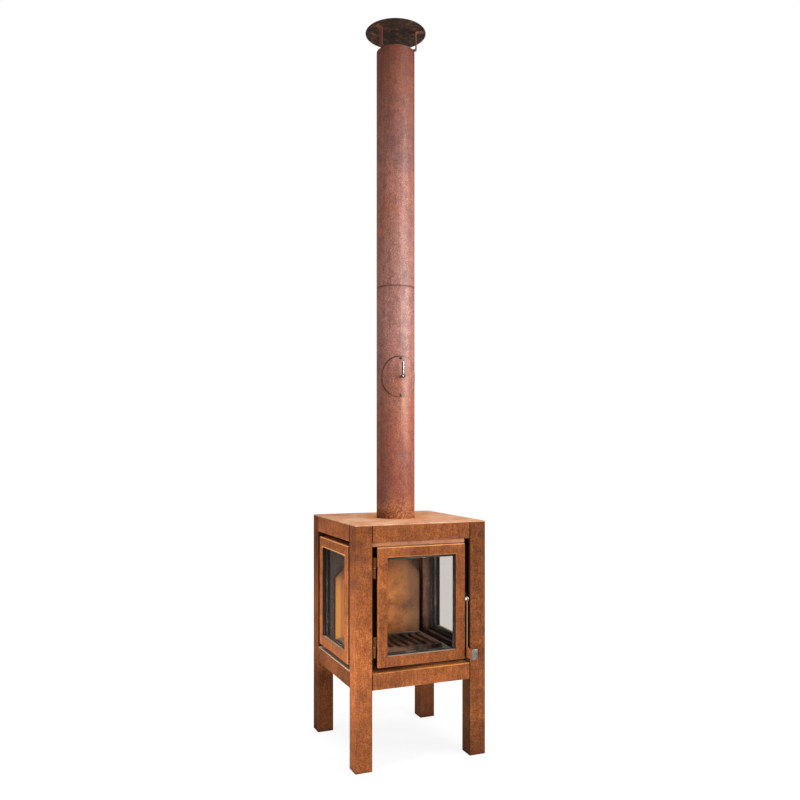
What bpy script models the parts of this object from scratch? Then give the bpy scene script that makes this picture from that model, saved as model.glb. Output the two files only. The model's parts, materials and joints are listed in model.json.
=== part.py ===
"""Garden stove (chiminea) of weathering steel: a square firebox on four legs, with a glazed door, glazed
sides and a tall flue with a rain cap. Units are metres, +Z is up, and the door faces -Y."""

import math

import bmesh
import bpy
from mathutils import Matrix, Vector

# Driving dimensions of the box
BOX = 0.520             # width and depth over the posts
HEIGHT = 0.880          # floor to the top of the top plate
TUBE = 0.065            # square tube of the posts, and the depth of the rails
TUBE_WALL = 0.003
TUBE_CORNER = 0.003     # outer corner radius of the tubes
RAIL_HEIGHT = 0.060
LEG_CLEAR = 0.288       # floor to the underside of the bottom rails
TOP_PLATE = 0.004
FOOT_PLATE = 0.004      # closes the lower end of each post
GAP = 0.0003            # between pieces that touch
RAIL_END_GAP = 0.0006   # the seam between a rail's end and its post

# Door, side windows and blind rear panel share one outline, flush with the posts
PANEL_SIDE_GAP = 0.020
PANEL_END_GAP = 0.018
PANEL_DEPTH = 0.038
PANEL_MEMBER = 0.038
PANEL_CORNER = 0.005
LEAST_CORNER = 0.0012   # corner radius inside a frame
PANEL_EDGE = 0.0035     # rounding of the outer front edge
REVEAL_EDGE = 0.0015    # rounding of the glazed opening's front edge
REVEAL = 0.014          # front face to the glass
REBATE = 0.008          # how far the glass reaches under the frame
GLASS = 0.004
RETAINER = 0.005
RETAINER_LIP = 0.003    # how far the retainer shows inside the opening at the sides
RETAINER_TOP_LIP = 0.010
SEAL_RADIUS = 0.0052
BLIND_SHEET = 0.003
DRAIN_RADIUS = 0.003

# Firebox, set back behind the panels
WALL_DEPTH = 0.050      # front plane of the posts to the firebox wall
WALL = 0.005
WALL_OPENING_INSET = 0.015
WALL_OPENING_END_INSET = 0.020
NECK = 0.004            # wall of the short neck that carries a side window
FLOOR = 0.004
LINTEL_DEPTH = 0.008    # front plane to the folded strip that closes the gap above the door
LINTEL_BOTTOM = 0.0023  # its lower edge, above the door
LINTEL = 0.003
CHAMFER_SPAN = 0.0204   # the floor's and roof's corners, cut off clear of the posts
SLAB_HALF = 0.184
SLAB = 0.025
FIREBACK = (0.186, 0.345, 0.008)       # half width, height, thickness
FIREBACK_CHAMFER = 0.075
GRATE = (0.150, 0.110, 0.014)          # half width, half depth, height
GRATE_BARS = 9
GRATE_SLOT = 0.018

# Flue
PIPE_RADIUS = 0.075
PIPE_WALL = 0.002
PIPE_LENGTH = 1.000
PIPE_CLEARANCE = 0.0009  # round the pipe where it passes through a plate
SOCKET_DEPTH = 0.068    # how far the upper pipe's drawn-in end sits in the lower pipe
PIPE_BASE = 0.783
SOCKET_WALL = 0.003     # the sleeve in the roof that carries the pipe
SIDES = 48              # facets round the flue
SMALL_SIDES = 16        # facets round bolts, pins and rods

# Damper: the pipe is turned a little, so that its handle faces just left of the front
DAMPER_TURN = math.radians(-6.5)
DAMPER_Z = 1.430
COVER_RADIUS = 0.079
COVER = 0.0025
COVER_GAP = 0.0006      # its flat facets stay clear of the round pipe
COVER_BOLTS = 0.072     # bolts above and below the shaft
BOLT_RADIUS, BOLT_HEAD_RADIUS, BOLT_LENGTH = 0.003, 0.0055, 0.012
SHAFT_RADIUS = 0.005
SHAFT_FRONT = 0.112
SHAFT_REAR = 0.082
HANDLE_LENGTH = 0.056
DISC_RADIUS = 0.0695
DISC = 0.003

# Rain cap
CAP_RADIUS = 0.119
CAP = 0.003
CAP_RISE = 0.075        # pipe rim to the underside of the cap
CAP_LEG_TURNS = (-66, 54, 174)         # degrees round from the front
CAP_LEG = (0.015, 0.003)               # width and thickness of the strip
CAP_LEG_RADII = (0.0700, 0.0825, 0.108)  # inside the pipe, outside it, and the tab's end
CAP_LEG_DEPTH = 0.045   # how far a leg reaches down inside the pipe

# Hinges
HINGE_X, HINGE_Y = -0.186, -0.2525
HINGE_OFFSET = 0.142    # each hinge's centre above or below the door's centre
KNUCKLE_RADIUS = 0.0055
KNUCKLE_LENGTH = 0.0365
PIN_RADIUS = 0.003
PIN_ROOT = 0.008        # how far the pin is set into the lower knuckle
WASHER = 0.0014
WING = 0.003            # thickness of the strap that joins a knuckle to its side

# Latch
LATCH_Y, LATCH_Z = -0.254, 0.588       # lever pivot
LEVER_X = 0.1815        # inner face of the lever, in the gap beside the door
LEVER = 0.004
LEVER_EYE = 0.0105      # radius of the lever's round end
TONGUE_RISE = 0.008     # pivot to the top of the tongue
CATCH_GAP = 0.0005      # tongue to the catch pin above it
LEVER_FOOT = (0.371, 0.408)            # lowest and highest point of the foot
FOOT_REACH = 0.038      # the foot's reach in front of the posts
TAB = (0.0195, 0.003)                  # width and thickness of the finger tab
STUD_RADIUS = 0.004
NUT_RADIUS = 0.0083
CATCH_PIN_RADIUS = 0.004
CATCH_PIN_Y = -0.228

HALF = BOX / 2
INNER = HALF - TUBE                    # inner faces of the posts
RAIL_TOP = LEG_CLEAR + RAIL_HEIGHT     # top of the bottom rails
PLATE_Z = HEIGHT - TOP_PLATE           # top of the posts and the top rails
BAY_TOP = PLATE_Z - RAIL_HEIGHT        # underside of the top rails
PANEL_HALF = INNER - PANEL_SIDE_GAP
PANEL_Z = (RAIL_TOP + PANEL_END_GAP, BAY_TOP - PANEL_END_GAP)
PANEL_MID = sum(PANEL_Z) / 2
PIPE_JOINT = PIPE_BASE + PIPE_LENGTH
PIPE_TOP = PIPE_JOINT - SOCKET_DEPTH + PIPE_LENGTH
TAB_FRONT = -(HALF + FOOT_REACH + TAB[1] + GAP)
CENTRE_Y = -(TAB_FRONT + HALF) / 2     # the box stands back, so that the origin is under the middle

COLOURS = {                            # base colour, roughness, metallic
    "weathering_steel": ((0.36, 0.115, 0.040), 0.75, 0.2),
    "flue_steel": ((0.33, 0.130, 0.085), 0.65, 0.3),
    "sooted_steel": ((0.035, 0.028, 0.025), 0.85, 0.2),
    "stainless_steel": ((0.62, 0.62, 0.61), 0.28, 1.0),
    "brass": ((0.70, 0.42, 0.16), 0.35, 1.0),
    "stove_glass": ((0.80, 0.84, 0.82), 0.05, 0.0),
    "rope_seal": ((0.06, 0.06, 0.06), 0.95, 0.0),
    "refractory": ((0.42, 0.36, 0.29), 0.95, 0.0),
    "cast_iron": ((0.05, 0.05, 0.05), 0.7, 0.6),
}


def clear_scene():
    for obj in list(bpy.data.objects):
        bpy.data.objects.remove(obj, do_unlink=True)


def make_material(name):
    colour, roughness, metallic = COLOURS[name]
    material = bpy.data.materials.new(name)
    material.use_nodes = True
    shader = material.node_tree.nodes["Principled BSDF"]
    shader.inputs["Base Color"].default_value = (*colour, 1.0)
    shader.inputs["Roughness"].default_value = roughness
    shader.inputs["Metallic"].default_value = metallic
    if name == "stove_glass":
        shader.inputs["Alpha"].default_value = 0.3
    return material


def make_axis(name, position, parent=None):
    """An empty on a joint's axis, given in the stove's own coordinates."""
    empty = bpy.data.objects.new(name, None)
    bpy.context.scene.collection.objects.link(empty)
    empty["at"] = position
    empty.parent = parent
    empty.location = Vector(position) - (Vector(parent["at"]) if parent else Vector())
    return empty


def add(name, bm, material, axis, turn=0.0):
    """Makes an object of bm, which is in the stove's own coordinates, with a material of its own."""
    bmesh.ops.recalc_face_normals(bm, faces=bm.faces)
    mesh = bpy.data.meshes.new(name)
    bm.to_mesh(mesh)
    bm.free()
    mesh.shade_smooth()
    mesh.set_sharp_from_angle(angle=math.radians(35))
    own = make_material(material)
    own.name = name + "_" + material
    mesh.materials.append(own)
    return place(name, mesh, axis, turn)


def place(name, mesh, axis, turn=0.0):
    """Puts a mesh in the scene under an axis, turned round the middle of the box."""
    obj = bpy.data.objects.new(name, mesh)
    bpy.context.scene.collection.objects.link(obj)
    obj.parent = axis
    obj.rotation_euler.z = turn
    obj.location = -Vector(axis["at"])
    return obj


def arc(centre, radius, start, end, steps):
    """Points of an arc, angles in degrees."""
    angles = [math.radians(start + (end - start) * i / steps) for i in range(steps + 1)]
    return [(centre[0] + radius * math.cos(a), centre[1] + radius * math.sin(a)) for a in angles]


def rounded_rectangle(lo, hi, radius, steps=3):
    points = []
    for sx, sy, start in ((1, 1, 0), (-1, 1, 90), (-1, -1, 180), (1, -1, 270)):
        corner = (hi[0] if sx > 0 else lo[0], hi[1] if sy > 0 else lo[1])
        centre = (corner[0] - sx * radius, corner[1] - sy * radius)
        points += arc(centre, radius, start, start + 90, steps)
    return points


def bridge(bm, loops, closed):
    """Quads between each loop of points and the next; an open run of loops is capped at both ends."""
    rings = [[bm.verts.new(p) for p in loop] for loop in loops]
    pairs = list(zip(rings, rings[1:]))
    if closed:
        pairs.append((rings[-1], rings[0]))
    for a, b in pairs:
        for i in range(len(a)):
            j = (i + 1) % len(a)
            bm.faces.new((a[i], a[j], b[j], b[i]))
    if not closed:
        bm.faces.new(rings[0])
        bm.faces.new(rings[-1])
    return bm


def bar(lo, hi, axis, wall=TUBE_WALL, corner=TUBE_CORNER):
    """A square tube, open at both ends, that runs along axis 0, 1 or 2 between two corners."""
    across = [i for i in range(3) if i != axis]

    def loop(inset, radius, along):
        flat_lo = [lo[i] + inset for i in across]
        flat_hi = [hi[i] - inset for i in across]
        points = []
        for u, v in rounded_rectangle(flat_lo, flat_hi, radius):
            point = [0.0, 0.0, 0.0]
            point[across[0]], point[across[1]], point[axis] = u, v, along
            points.append(point)
        return points

    inner_corner = corner / 6
    loops = [loop(0, corner, lo[axis]), loop(0, corner, hi[axis])]
    loops += [loop(wall, inner_corner, hi[axis]), loop(wall, inner_corner, lo[axis])]
    return bridge(bmesh.new(), loops, closed=True)


def prism(outline, lo, hi, axis=2):
    """An outline drawn on the two axes across `axis`, in order, and drawn out along it."""
    across = [i for i in range(3) if i != axis]

    def loop(along):
        points = []
        for u, v in outline:
            point = [0.0, 0.0, 0.0]
            point[across[0]], point[across[1]], point[axis] = u, v, along
            points.append(point)
        return points

    return bridge(bmesh.new(), [loop(lo), loop(hi)], closed=False)


def soft_box(lo, hi, edge):
    """A box with its edges rounded."""
    bm = bmesh.new()
    size = [h - l for l, h in zip(lo, hi)]
    middle = [(h + l) / 2 for l, h in zip(lo, hi)]
    bmesh.ops.create_cube(bm, size=1.0, matrix=Matrix.Translation(middle) @ Matrix.Diagonal((*size, 1.0)))
    bmesh.ops.bevel(bm, geom=list(bm.edges), offset=edge, segments=2, profile=0.5, affect="EDGES")
    return bm


def turned(profile, sides=SIDES, centre=(0.0, 0.0), closed=True):
    """Turns (radius, z) points round a vertical axis. An open profile is capped at both ends."""
    loops = []
    for radius, z in profile:
        ring = [2 * math.pi * i / sides for i in range(sides)]
        x, y = centre
        loops.append([(x + radius * math.cos(a), y + radius * math.sin(a), z) for a in ring])
    return bridge(bmesh.new(), loops, closed)


def lay_along_x(bm, y, z):
    """Turns a piece made round +Z so that it lies along +X at height z."""
    move = Matrix.Translation((0, y, z)) @ Matrix.Rotation(math.pi / 2, 4, "Y")
    bmesh.ops.transform(bm, verts=bm.verts, matrix=move)
    return bm


def small_turned_along_x(profile, y, z):
    return lay_along_x(turned(profile, SMALL_SIDES, closed=False), y, z)


def lay_along_front(bm, z):
    """Turns a piece made round +Z so that it points out of the front, along -Y, at height z."""
    move = Matrix.Translation((0, 0, z)) @ Matrix.Rotation(math.pi / 2, 4, "X")
    bmesh.ops.transform(bm, verts=bm.verts, matrix=move)
    return bm


def combine(obj, operation, *pieces):
    """Cuts each bmesh from obj (DIFFERENCE) or joins it on (UNION), and keeps the result as obj's mesh."""
    for bm in pieces:
        bmesh.ops.recalc_face_normals(bm, faces=bm.faces)
        mesh = bpy.data.meshes.new("helper")
        bm.to_mesh(mesh)
        bm.free()
        helper = place("helper", mesh, obj.parent, obj.rotation_euler.z)
        helper.hide_render = True
        helper.display_type = "WIRE"
        modifier = obj.modifiers.new("combine", "BOOLEAN")
        modifier.operation = operation
        modifier.solver = "EXACT"
        modifier.object = helper
        bpy.context.view_layer.update()
        seen = obj.evaluated_get(bpy.context.evaluated_depsgraph_get())
        result = bpy.data.meshes.new_from_object(seen)
        obj.modifiers.clear()
        obj.data = result
        bpy.data.objects.remove(helper, do_unlink=True)
    obj.data.shade_smooth()
    obj.data.set_sharp_from_angle(angle=math.radians(35))
    return obj


def cut(obj, *cutters):
    return combine(obj, "DIFFERENCE", *cutters)


def framed(profile, half=PANEL_HALF, ends=PANEL_Z, corner=PANEL_CORNER, closed=True):
    """Sweeps (inset, depth) or (inset, top inset, depth) points round a rectangle in the front plane."""
    loops = []
    for point in profile:
        inset, top_inset, depth = point if len(point) == 3 else (point[0], point[0], point[1])
        lo, hi = (-half + inset, ends[0] + inset), (half - inset, ends[1] - top_inset)
        radius = max(corner - inset, LEAST_CORNER)
        loops.append([(x, -HALF + depth, z) for x, z in rounded_rectangle(lo, hi, radius)])
    return bridge(bmesh.new(), loops, closed)


def make_posts(stove):
    for x_name, x_side in (("left", -1), ("right", 1)):
        for y_name, y_side in (("front", -1), ("rear", 1)):
            middle = [side * (HALF - TUBE / 2) for side in (x_side, y_side)]
            lo = [m - TUBE / 2 for m in middle]
            hi = [m + TUBE / 2 for m in middle]
            name = y_name + "_" + x_name
            add("post_" + name, bar((*lo, 0.0), (*hi, PLATE_Z - GAP), 2), "weathering_steel", stove)
            inset = TUBE_WALL + GAP
            foot_lo, foot_hi = [v + inset for v in lo], [v - inset for v in hi]
            foot = soft_box((*foot_lo, 0.0), (*foot_hi, FOOT_PLATE), 0.0004)
            add("foot_plate_" + name, foot, "weathering_steel", stove)


def make_rails(stove):
    half_length = INNER - RAIL_END_GAP
    for level, bottom in (("bottom", LEG_CLEAR), ("top", BAY_TOP)):
        top = bottom + RAIL_HEIGHT - (GAP if level == "top" else 0.0)
        for side, sign in (("front", -1), ("rear", 1)):
            near, far = sorted((sign * HALF, sign * INNER))
            piece = bar((-half_length, near, bottom), (half_length, far, top), 0)
            add(f"{level}_rail_{side}", piece, "weathering_steel", stove)
        for side, sign in (("left", -1), ("right", 1)):
            near, far = sorted((sign * HALF, sign * INNER))
            piece = bar((near, -half_length, bottom), (far, half_length, top), 1)
            add(f"{level}_rail_{side}", piece, "weathering_steel", stove)


def make_top_plate(stove):
    plate = soft_box((-HALF, -HALF, PLATE_Z), (HALF, HALF, HEIGHT), 0.0008)
    hole_radius = PIPE_RADIUS + PIPE_CLEARANCE
    hole = turned(((hole_radius, PLATE_Z - 0.01), (hole_radius, HEIGHT + 0.01)), closed=False)
    cut(add("top_plate", plate, "weathering_steel", stove), hole)


def wall_opening():
    """Half width and ends of the hole in a firebox wall, a little inside the panel that covers it."""
    half = PANEL_HALF - WALL_OPENING_INSET
    return half, (PANEL_Z[0] + WALL_OPENING_END_INSET, PANEL_Z[1] - WALL_OPENING_END_INSET)


def wall_loop(half, ends, depth):
    rectangle = rounded_rectangle((-half, ends[0]), (half, ends[1]), LEAST_CORNER)
    return [(x, -HALF + depth, z) for x, z in rectangle]


def make_firebox_walls(stove):
    outer = (INNER - GAP, (RAIL_TOP + GAP, BAY_TOP - GAP))
    hole_half, hole_ends = wall_opening()
    hole = (hole_half, hole_ends)
    neck = (hole_half + NECK, (hole_ends[0] - NECK, hole_ends[1] + NECK))
    back = WALL_DEPTH + WALL
    front_loops = [wall_loop(*outer, WALL_DEPTH), wall_loop(*outer, back)]
    front_loops += [wall_loop(*hole, back), wall_loop(*hole, WALL_DEPTH)]
    front = bridge(bmesh.new(), front_loops, closed=True)
    combine(add("firebox_front", front, "sooted_steel", stove), "UNION", lintel())
    neck_front = PANEL_DEPTH + GAP
    for side, turn in (("left", -90), ("right", 90)):
        loops = [wall_loop(*outer, WALL_DEPTH), wall_loop(*outer, back)]
        loops += [wall_loop(*hole, back), wall_loop(*hole, neck_front)]
        loops += [wall_loop(*neck, neck_front), wall_loop(*neck, WALL_DEPTH)]
        wall = bridge(bmesh.new(), loops, closed=True)
        add("firebox_" + side, wall, "sooted_steel", stove, math.radians(turn))
    rear_loops = [wall_loop(*outer, WALL_DEPTH), wall_loop(*outer, back)]
    add("firebox_rear", bridge(bmesh.new(), rear_loops, closed=False), "sooted_steel", stove, math.pi)


def lintel():
    """A strip folded from the front wall: forward under the top rail, and down behind the gap over the door."""
    low, high = PANEL_Z[1] + LINTEL_BOTTOM, BAY_TOP - GAP
    front, back = LINTEL_DEPTH - HALF, WALL_DEPTH + WALL / 2 - HALF
    section = [(front, low), (front, high), (back, high), (back, high - LINTEL)]
    section += [(front + LINTEL, high - LINTEL), (front + LINTEL, low)]
    return prism(section, -(INNER - GAP), PANEL_HALF - GAP, axis=0)


def chamfered_square(half, span):
    corners = []
    for sx, sy in ((1, 1), (-1, 1), (-1, -1), (1, -1)):
        pair = [(sx * half, sy * (half - span)), (sx * (half - span), sy * half)]
        corners += pair if sx * sy > 0 else pair[::-1]
    return corners


def make_firebox_floor_and_roof(stove):
    half = HALF - WALL_DEPTH - WALL - GAP
    outline = chamfered_square(half, CHAMFER_SPAN)
    floor_z = RAIL_TOP + GAP
    add("firebox_floor", prism(outline, floor_z, floor_z + FLOOR), "sooted_steel", stove)
    roof_z = BAY_TOP - GAP - FLOOR
    roof = add("firebox_roof", prism(outline, roof_z, roof_z + FLOOR), "sooted_steel", stove)
    hole_radius = PIPE_RADIUS + PIPE_CLEARANCE
    cut(roof, turned(((hole_radius, roof_z - 0.01), (hole_radius, roof_z + 0.02)), closed=False))


def make_fire_bed(stove):
    slab_z = RAIL_TOP + 2 * GAP + FLOOR
    slab = soft_box((-SLAB_HALF, -SLAB_HALF, slab_z), (SLAB_HALF, SLAB_HALF, slab_z + SLAB), 0.003)
    add("hearth_slab", slab, "refractory", stove)
    half, height, thickness = FIREBACK
    top, shoulder = slab_z + height, slab_z + height - FIREBACK_CHAMFER
    neck = half - FIREBACK_CHAMFER
    outline = [(-half, slab_z), (half, slab_z), (half, shoulder)]
    outline += [(neck, top), (-neck, top), (-half, shoulder)]
    fireback_y = SLAB_HALF + 0.004
    add("fireback", prism(outline, fireback_y, fireback_y + thickness, axis=1), "cast_iron", stove)
    add("fire_grate", grate(slab_z + SLAB + GAP), "cast_iron", stove)


def grate(z):
    """A cast grate: a rectangular plate with a row of slots between its bars."""
    half_x, half_y, height = GRATE
    slots = GRATE_BARS - 1
    bar_width = (2 * half_x - slots * GRATE_SLOT) / GRATE_BARS
    xs = [-half_x]
    for _ in range(slots):
        xs += [xs[-1] + bar_width, xs[-1] + bar_width + GRATE_SLOT]
    xs.append(half_x)
    ys = [-half_y, -half_y + bar_width, half_y - bar_width, half_y]
    return lattice(xs, ys, lambda i, j: i % 2 == 1 and j == 1, z, z + height)


def lattice(xs, ys, is_hole, z_low, z_high):
    """A plate on a grid of cells, with the cells that are holes left out."""
    bm = bmesh.new()
    low = [[bm.verts.new((x, y, z_low)) for y in ys] for x in xs]
    high = [[bm.verts.new((x, y, z_high)) for y in ys] for x in xs]

    def solid(i, j):
        inside = 0 <= i < len(xs) - 1 and 0 <= j < len(ys) - 1
        return inside and not is_hole(i, j)

    for i in range(len(xs) - 1):
        for j in range(len(ys) - 1):
            if not solid(i, j):
                continue
            ring = ((i, j), (i + 1, j), (i + 1, j + 1), (i, j + 1))
            beyond = ((i, j - 1), (i + 1, j), (i, j + 1), (i - 1, j))
            for level in (low, high):
                bm.faces.new([level[a][b] for a, b in ring])
            for k, cell in enumerate(beyond):
                if not solid(*cell):
                    (a, b), (c, d) = ring[k], ring[(k + 1) % 4]
                    bm.faces.new((low[a][b], low[c][d], high[c][d], high[a][b]))
    return bm


def panel_frame():
    """The section of a glazed frame: rounded front edges, and a rebate for the glass behind."""
    edge = 0.0008
    section = [(edge, PANEL_DEPTH), (0.0, PANEL_DEPTH - edge)]
    section += arc((PANEL_EDGE, PANEL_EDGE), PANEL_EDGE, 180, 270, 3)
    section += arc((PANEL_MEMBER - REVEAL_EDGE, REVEAL_EDGE), REVEAL_EDGE, 270, 360, 2)
    rebate = PANEL_MEMBER - REBATE
    section += [(PANEL_MEMBER, REVEAL), (rebate, REVEAL), (rebate, PANEL_DEPTH)]
    return framed(section)


def hollow_out(frame):
    """The frame is welded from tube: hollow all round, with a drain hole in its bottom edge."""
    near, far = TUBE_WALL, PANEL_MEMBER - REBATE - TUBE_WALL
    back = PANEL_DEPTH - TUBE_WALL
    hollow = framed([(near, near), (far, near), (far, back), (near, back)])
    drain = ((DRAIN_RADIUS, PANEL_Z[0] - 0.01), (DRAIN_RADIUS, PANEL_Z[0] + 0.01))
    drain_at = (0.0, -HALF + PANEL_DEPTH / 2)
    cut(frame, hollow, turned(drain, SMALL_SIDES, drain_at, closed=False))


def panel_glass():
    edge = PANEL_MEMBER - REBATE + GAP
    front, back = REVEAL + GAP, REVEAL + GAP + GLASS
    chamfer = 0.0005
    section = [(edge + chamfer, front), (edge, front + chamfer)]
    section += [(edge, back - chamfer), (edge + chamfer, back)]
    return framed(section, closed=False)


def panel_retainer():
    """The black frame behind the glass. It shows inside the opening, most of all at the top."""
    edge = PANEL_MEMBER - REBATE + GAP
    side, top = PANEL_MEMBER + RETAINER_LIP, PANEL_MEMBER + RETAINER_TOP_LIP
    front = REVEAL + GLASS + 2 * GAP
    back = front + RETAINER
    return framed([(edge, edge, front), (side, top, front), (side, top, back), (edge, edge, back)])


def make_glazing(prefix, names, axis, turn=0.0):
    frame_name, glass_name, retainer_name = names
    hollow_out(add(prefix + frame_name, panel_frame(), "weathering_steel", axis, turn))
    add(prefix + glass_name, panel_glass(), "stove_glass", axis, turn)
    add(prefix + retainer_name, panel_retainer(), "sooted_steel", axis, turn)


def make_side_windows(stove):
    for side, turn in (("left", -90), ("right", 90)):
        names = [f"{piece}_{side}" for piece in ("frame", "glass", "retainer")]
        make_glazing("window_", names, stove, math.radians(turn))


def make_rear_panel(stove):
    """A blind tray, flush like the windows, whose folded sides reach back to the firebox wall."""
    back = WALL_DEPTH - GAP
    section = [(BLIND_SHEET, BLIND_SHEET), (BLIND_SHEET, back), (0.0, back)]
    section += arc((PANEL_EDGE, PANEL_EDGE), PANEL_EDGE, 180, 270, 3)
    add("rear_panel", framed(section, closed=False), "weathering_steel", stove, math.pi)


def make_door(door):
    make_glazing("door_", ("frame", "glass", "retainer"), door)
    inset = (PANEL_HALF - wall_opening()[0]) / 2
    depth = PANEL_DEPTH + GAP + SEAL_RADIUS
    section = [(inset + y, depth + z) for y, z in arc((0, 0), SEAL_RADIUS, 0, 315, 7)]
    add("door_seal", framed(section), "rope_seal", door)


def knuckle(reach, z_low, z_high):
    """A round barrel on the hinge axis with a strap that reaches out to `reach` from it, as a prism."""
    start = math.degrees(math.asin(WING / 2 / KNUCKLE_RADIUS))
    outline = arc((0, 0), KNUCKLE_RADIUS, start, 360 - start, 18)
    outline += [(abs(reach), -WING / 2), (abs(reach), WING / 2)]
    side = math.copysign(1, reach)
    return prism([(HINGE_X + side * x, HINGE_Y + y) for x, y in outline], z_low, z_high)


def make_hinges(stove, door):
    to_post = -(INNER - GAP) - HINGE_X
    to_door = -(PANEL_HALF + GAP) - HINGE_X
    axis_point = (HINGE_X, HINGE_Y)
    bore = PIN_RADIUS + 0.0004
    for level, sign in (("lower", -1), ("upper", 1)):
        middle = PANEL_MID + sign * HINGE_OFFSET
        low, high = middle - WASHER / 2 - GAP, middle + WASHER / 2 + GAP
        top = high + KNUCKLE_LENGTH
        post_half = knuckle(to_post, low - KNUCKLE_LENGTH, low)
        post_half = add(f"hinge_{level}_post_half", post_half, "weathering_steel", stove)
        pin = ((PIN_RADIUS, low - PIN_ROOT), (PIN_RADIUS, top))
        combine(post_half, "UNION", turned(pin, SMALL_SIDES, axis_point, closed=False))
        door_half = add(f"hinge_{level}_door_half", knuckle(to_door, high, top), "weathering_steel", door)
        drill = ((bore, high - 0.01), (bore, top + 0.01))
        cut(door_half, turned(drill, SMALL_SIDES, axis_point, closed=False))
        faces = (middle - WASHER / 2, middle + WASHER / 2)
        ring = [(KNUCKLE_RADIUS, faces[0]), (KNUCKLE_RADIUS, faces[1])]
        ring += [(PIN_RADIUS + GAP, faces[1]), (PIN_RADIUS + GAP, faces[0])]
        add(f"hinge_{level}_washer", turned(ring, SMALL_SIDES, axis_point), "brass", stove)


def make_latch(stove, door, lever):
    spacer_end = LEVER_X - GAP
    edge, head = 0.0013, 0.0035
    stud = [(NUT_RADIUS - edge, PANEL_HALF + GAP), (NUT_RADIUS, PANEL_HALF + GAP + edge)]
    stud += [(NUT_RADIUS, spacer_end), (STUD_RADIUS, spacer_end)]
    stud.append((STUD_RADIUS, LEVER_X + LEVER + GAP + head))
    add("latch_pivot_stud", small_turned_along_x(stud, LATCH_Y, LATCH_Z), "stainless_steel", door)
    nut_x = LEVER_X + LEVER + GAP
    bore = STUD_RADIUS + GAP
    nut = [(bore, nut_x + head + GAP), (bore, nut_x), (NUT_RADIUS, nut_x)]
    nut.append((NUT_RADIUS, nut_x + head))
    dome = 0.0045
    for a in (0.4, 0.8, 1.2):
        nut.append((NUT_RADIUS * math.cos(a), nut_x + head + dome * math.sin(a)))
    add("latch_dome_nut", small_turned_along_x(nut, LATCH_Y, LATCH_Z), "stainless_steel", door)
    plate = prism(lever_outline(), LEVER_X, LEVER_X + LEVER, axis=0)
    hole = ((bore, LEVER_X - 0.01), (bore, LEVER_X + 0.01))
    lever_plate = add("latch_lever", plate, "weathering_steel", lever)
    cut(lever_plate, small_turned_along_x(hole, LATCH_Y, LATCH_Z))
    tab_lo = (LEVER_X, TAB_FRONT, LEVER_FOOT[0])
    tab_hi = (LEVER_X + LEVER + TAB[0], TAB_FRONT + TAB[1], LEVER_FOOT[1])
    add("latch_finger_tab", soft_box(tab_lo, tab_hi, 0.0006), "stainless_steel", lever)
    pin_z = LATCH_Z + TONGUE_RISE + CATCH_GAP + CATCH_PIN_RADIUS
    tip, edge, collar, collar_x = LEVER_X - 0.0015, 0.0006, 0.007, INNER - 0.003
    pin = [(CATCH_PIN_RADIUS - edge, tip), (CATCH_PIN_RADIUS, tip + edge)]
    pin += [(CATCH_PIN_RADIUS, collar_x), (collar, collar_x), (collar, INNER - GAP)]
    add("latch_catch_pin", small_turned_along_x(pin, CATCH_PIN_Y, pin_z), "stainless_steel", stove)


def lever_outline():
    """The lever seen from the side, as (y, z): a round eye, a tongue to the rear under the catch pin, and a
    long arm down to a foot that reaches forward."""
    arm_front, arm_back = LATCH_Y - 0.0065, LATCH_Y + 0.0075
    tongue_low, tongue_high = LATCH_Z - 0.006, LATCH_Z + TONGUE_RISE
    tongue_end = CATCH_PIN_Y + 0.009
    foot_low, foot_high = LEVER_FOOT
    foot_front = TAB_FRONT + TAB[1] + GAP
    start = math.degrees(math.asin(TONGUE_RISE / LEVER_EYE))
    end = 360 - math.degrees(math.acos((arm_front - LATCH_Y) / LEVER_EYE))
    points = arc((LATCH_Y, LATCH_Z), LEVER_EYE, start, end, 12)
    points += [(arm_front, foot_high + 0.004), (arm_front - 0.004, foot_high), (foot_front, foot_high)]
    points += [(foot_front, foot_low), (arm_back - 0.010, foot_low), (arm_back, foot_low + 0.010)]
    points += [(arm_back, tongue_low - 0.004), (arm_back + 0.004, tongue_low)]
    points += [(tongue_end, tongue_low), (tongue_end, LATCH_Z), (tongue_end - 0.006, tongue_high)]
    return points


def make_flue(stove):
    inner = PIPE_RADIUS - PIPE_WALL
    socket_z, socket_top = PIPE_BASE - 0.0035, BAY_TOP - 2 * GAP - FLOOR
    sleeve = PIPE_RADIUS + 0.0005
    outer, lip = sleeve + SOCKET_WALL, inner - 0.002
    socket = [(lip, socket_z), (outer, socket_z), (outer, socket_top)]
    socket += [(sleeve, socket_top), (sleeve, PIPE_BASE - GAP), (lip, PIPE_BASE - GAP)]
    add("flue_socket", turned(socket), "sooted_steel", stove)

    lower = ((PIPE_RADIUS, PIPE_BASE), (PIPE_RADIUS, PIPE_JOINT), (inner, PIPE_JOINT), (inner, PIPE_BASE))
    pipe = add("flue_pipe_lower", turned(lower), "flue_steel", stove, DAMPER_TURN)
    cut(pipe, drill_to_front(SHAFT_RADIUS + 0.0006, -0.1, 0.1, DAMPER_Z), *bolt_drills())

    drawn = inner - 0.0006
    neck_low, neck_high = PIPE_JOINT - SOCKET_DEPTH, PIPE_JOINT + GAP
    upper = [(drawn, neck_low), (drawn, neck_high), (PIPE_RADIUS, neck_high + 0.0012)]
    upper += [(PIPE_RADIUS, PIPE_TOP), (inner, PIPE_TOP), (inner, neck_high + 0.0020)]
    upper += [(drawn - PIPE_WALL, neck_high - 0.0020), (drawn - PIPE_WALL, neck_low)]
    add("flue_pipe_upper", turned(upper), "flue_steel", stove, DAMPER_TURN)


def small_turned_to_front(profile, z):
    return lay_along_front(turned(profile, SMALL_SIDES, closed=False), z)


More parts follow.
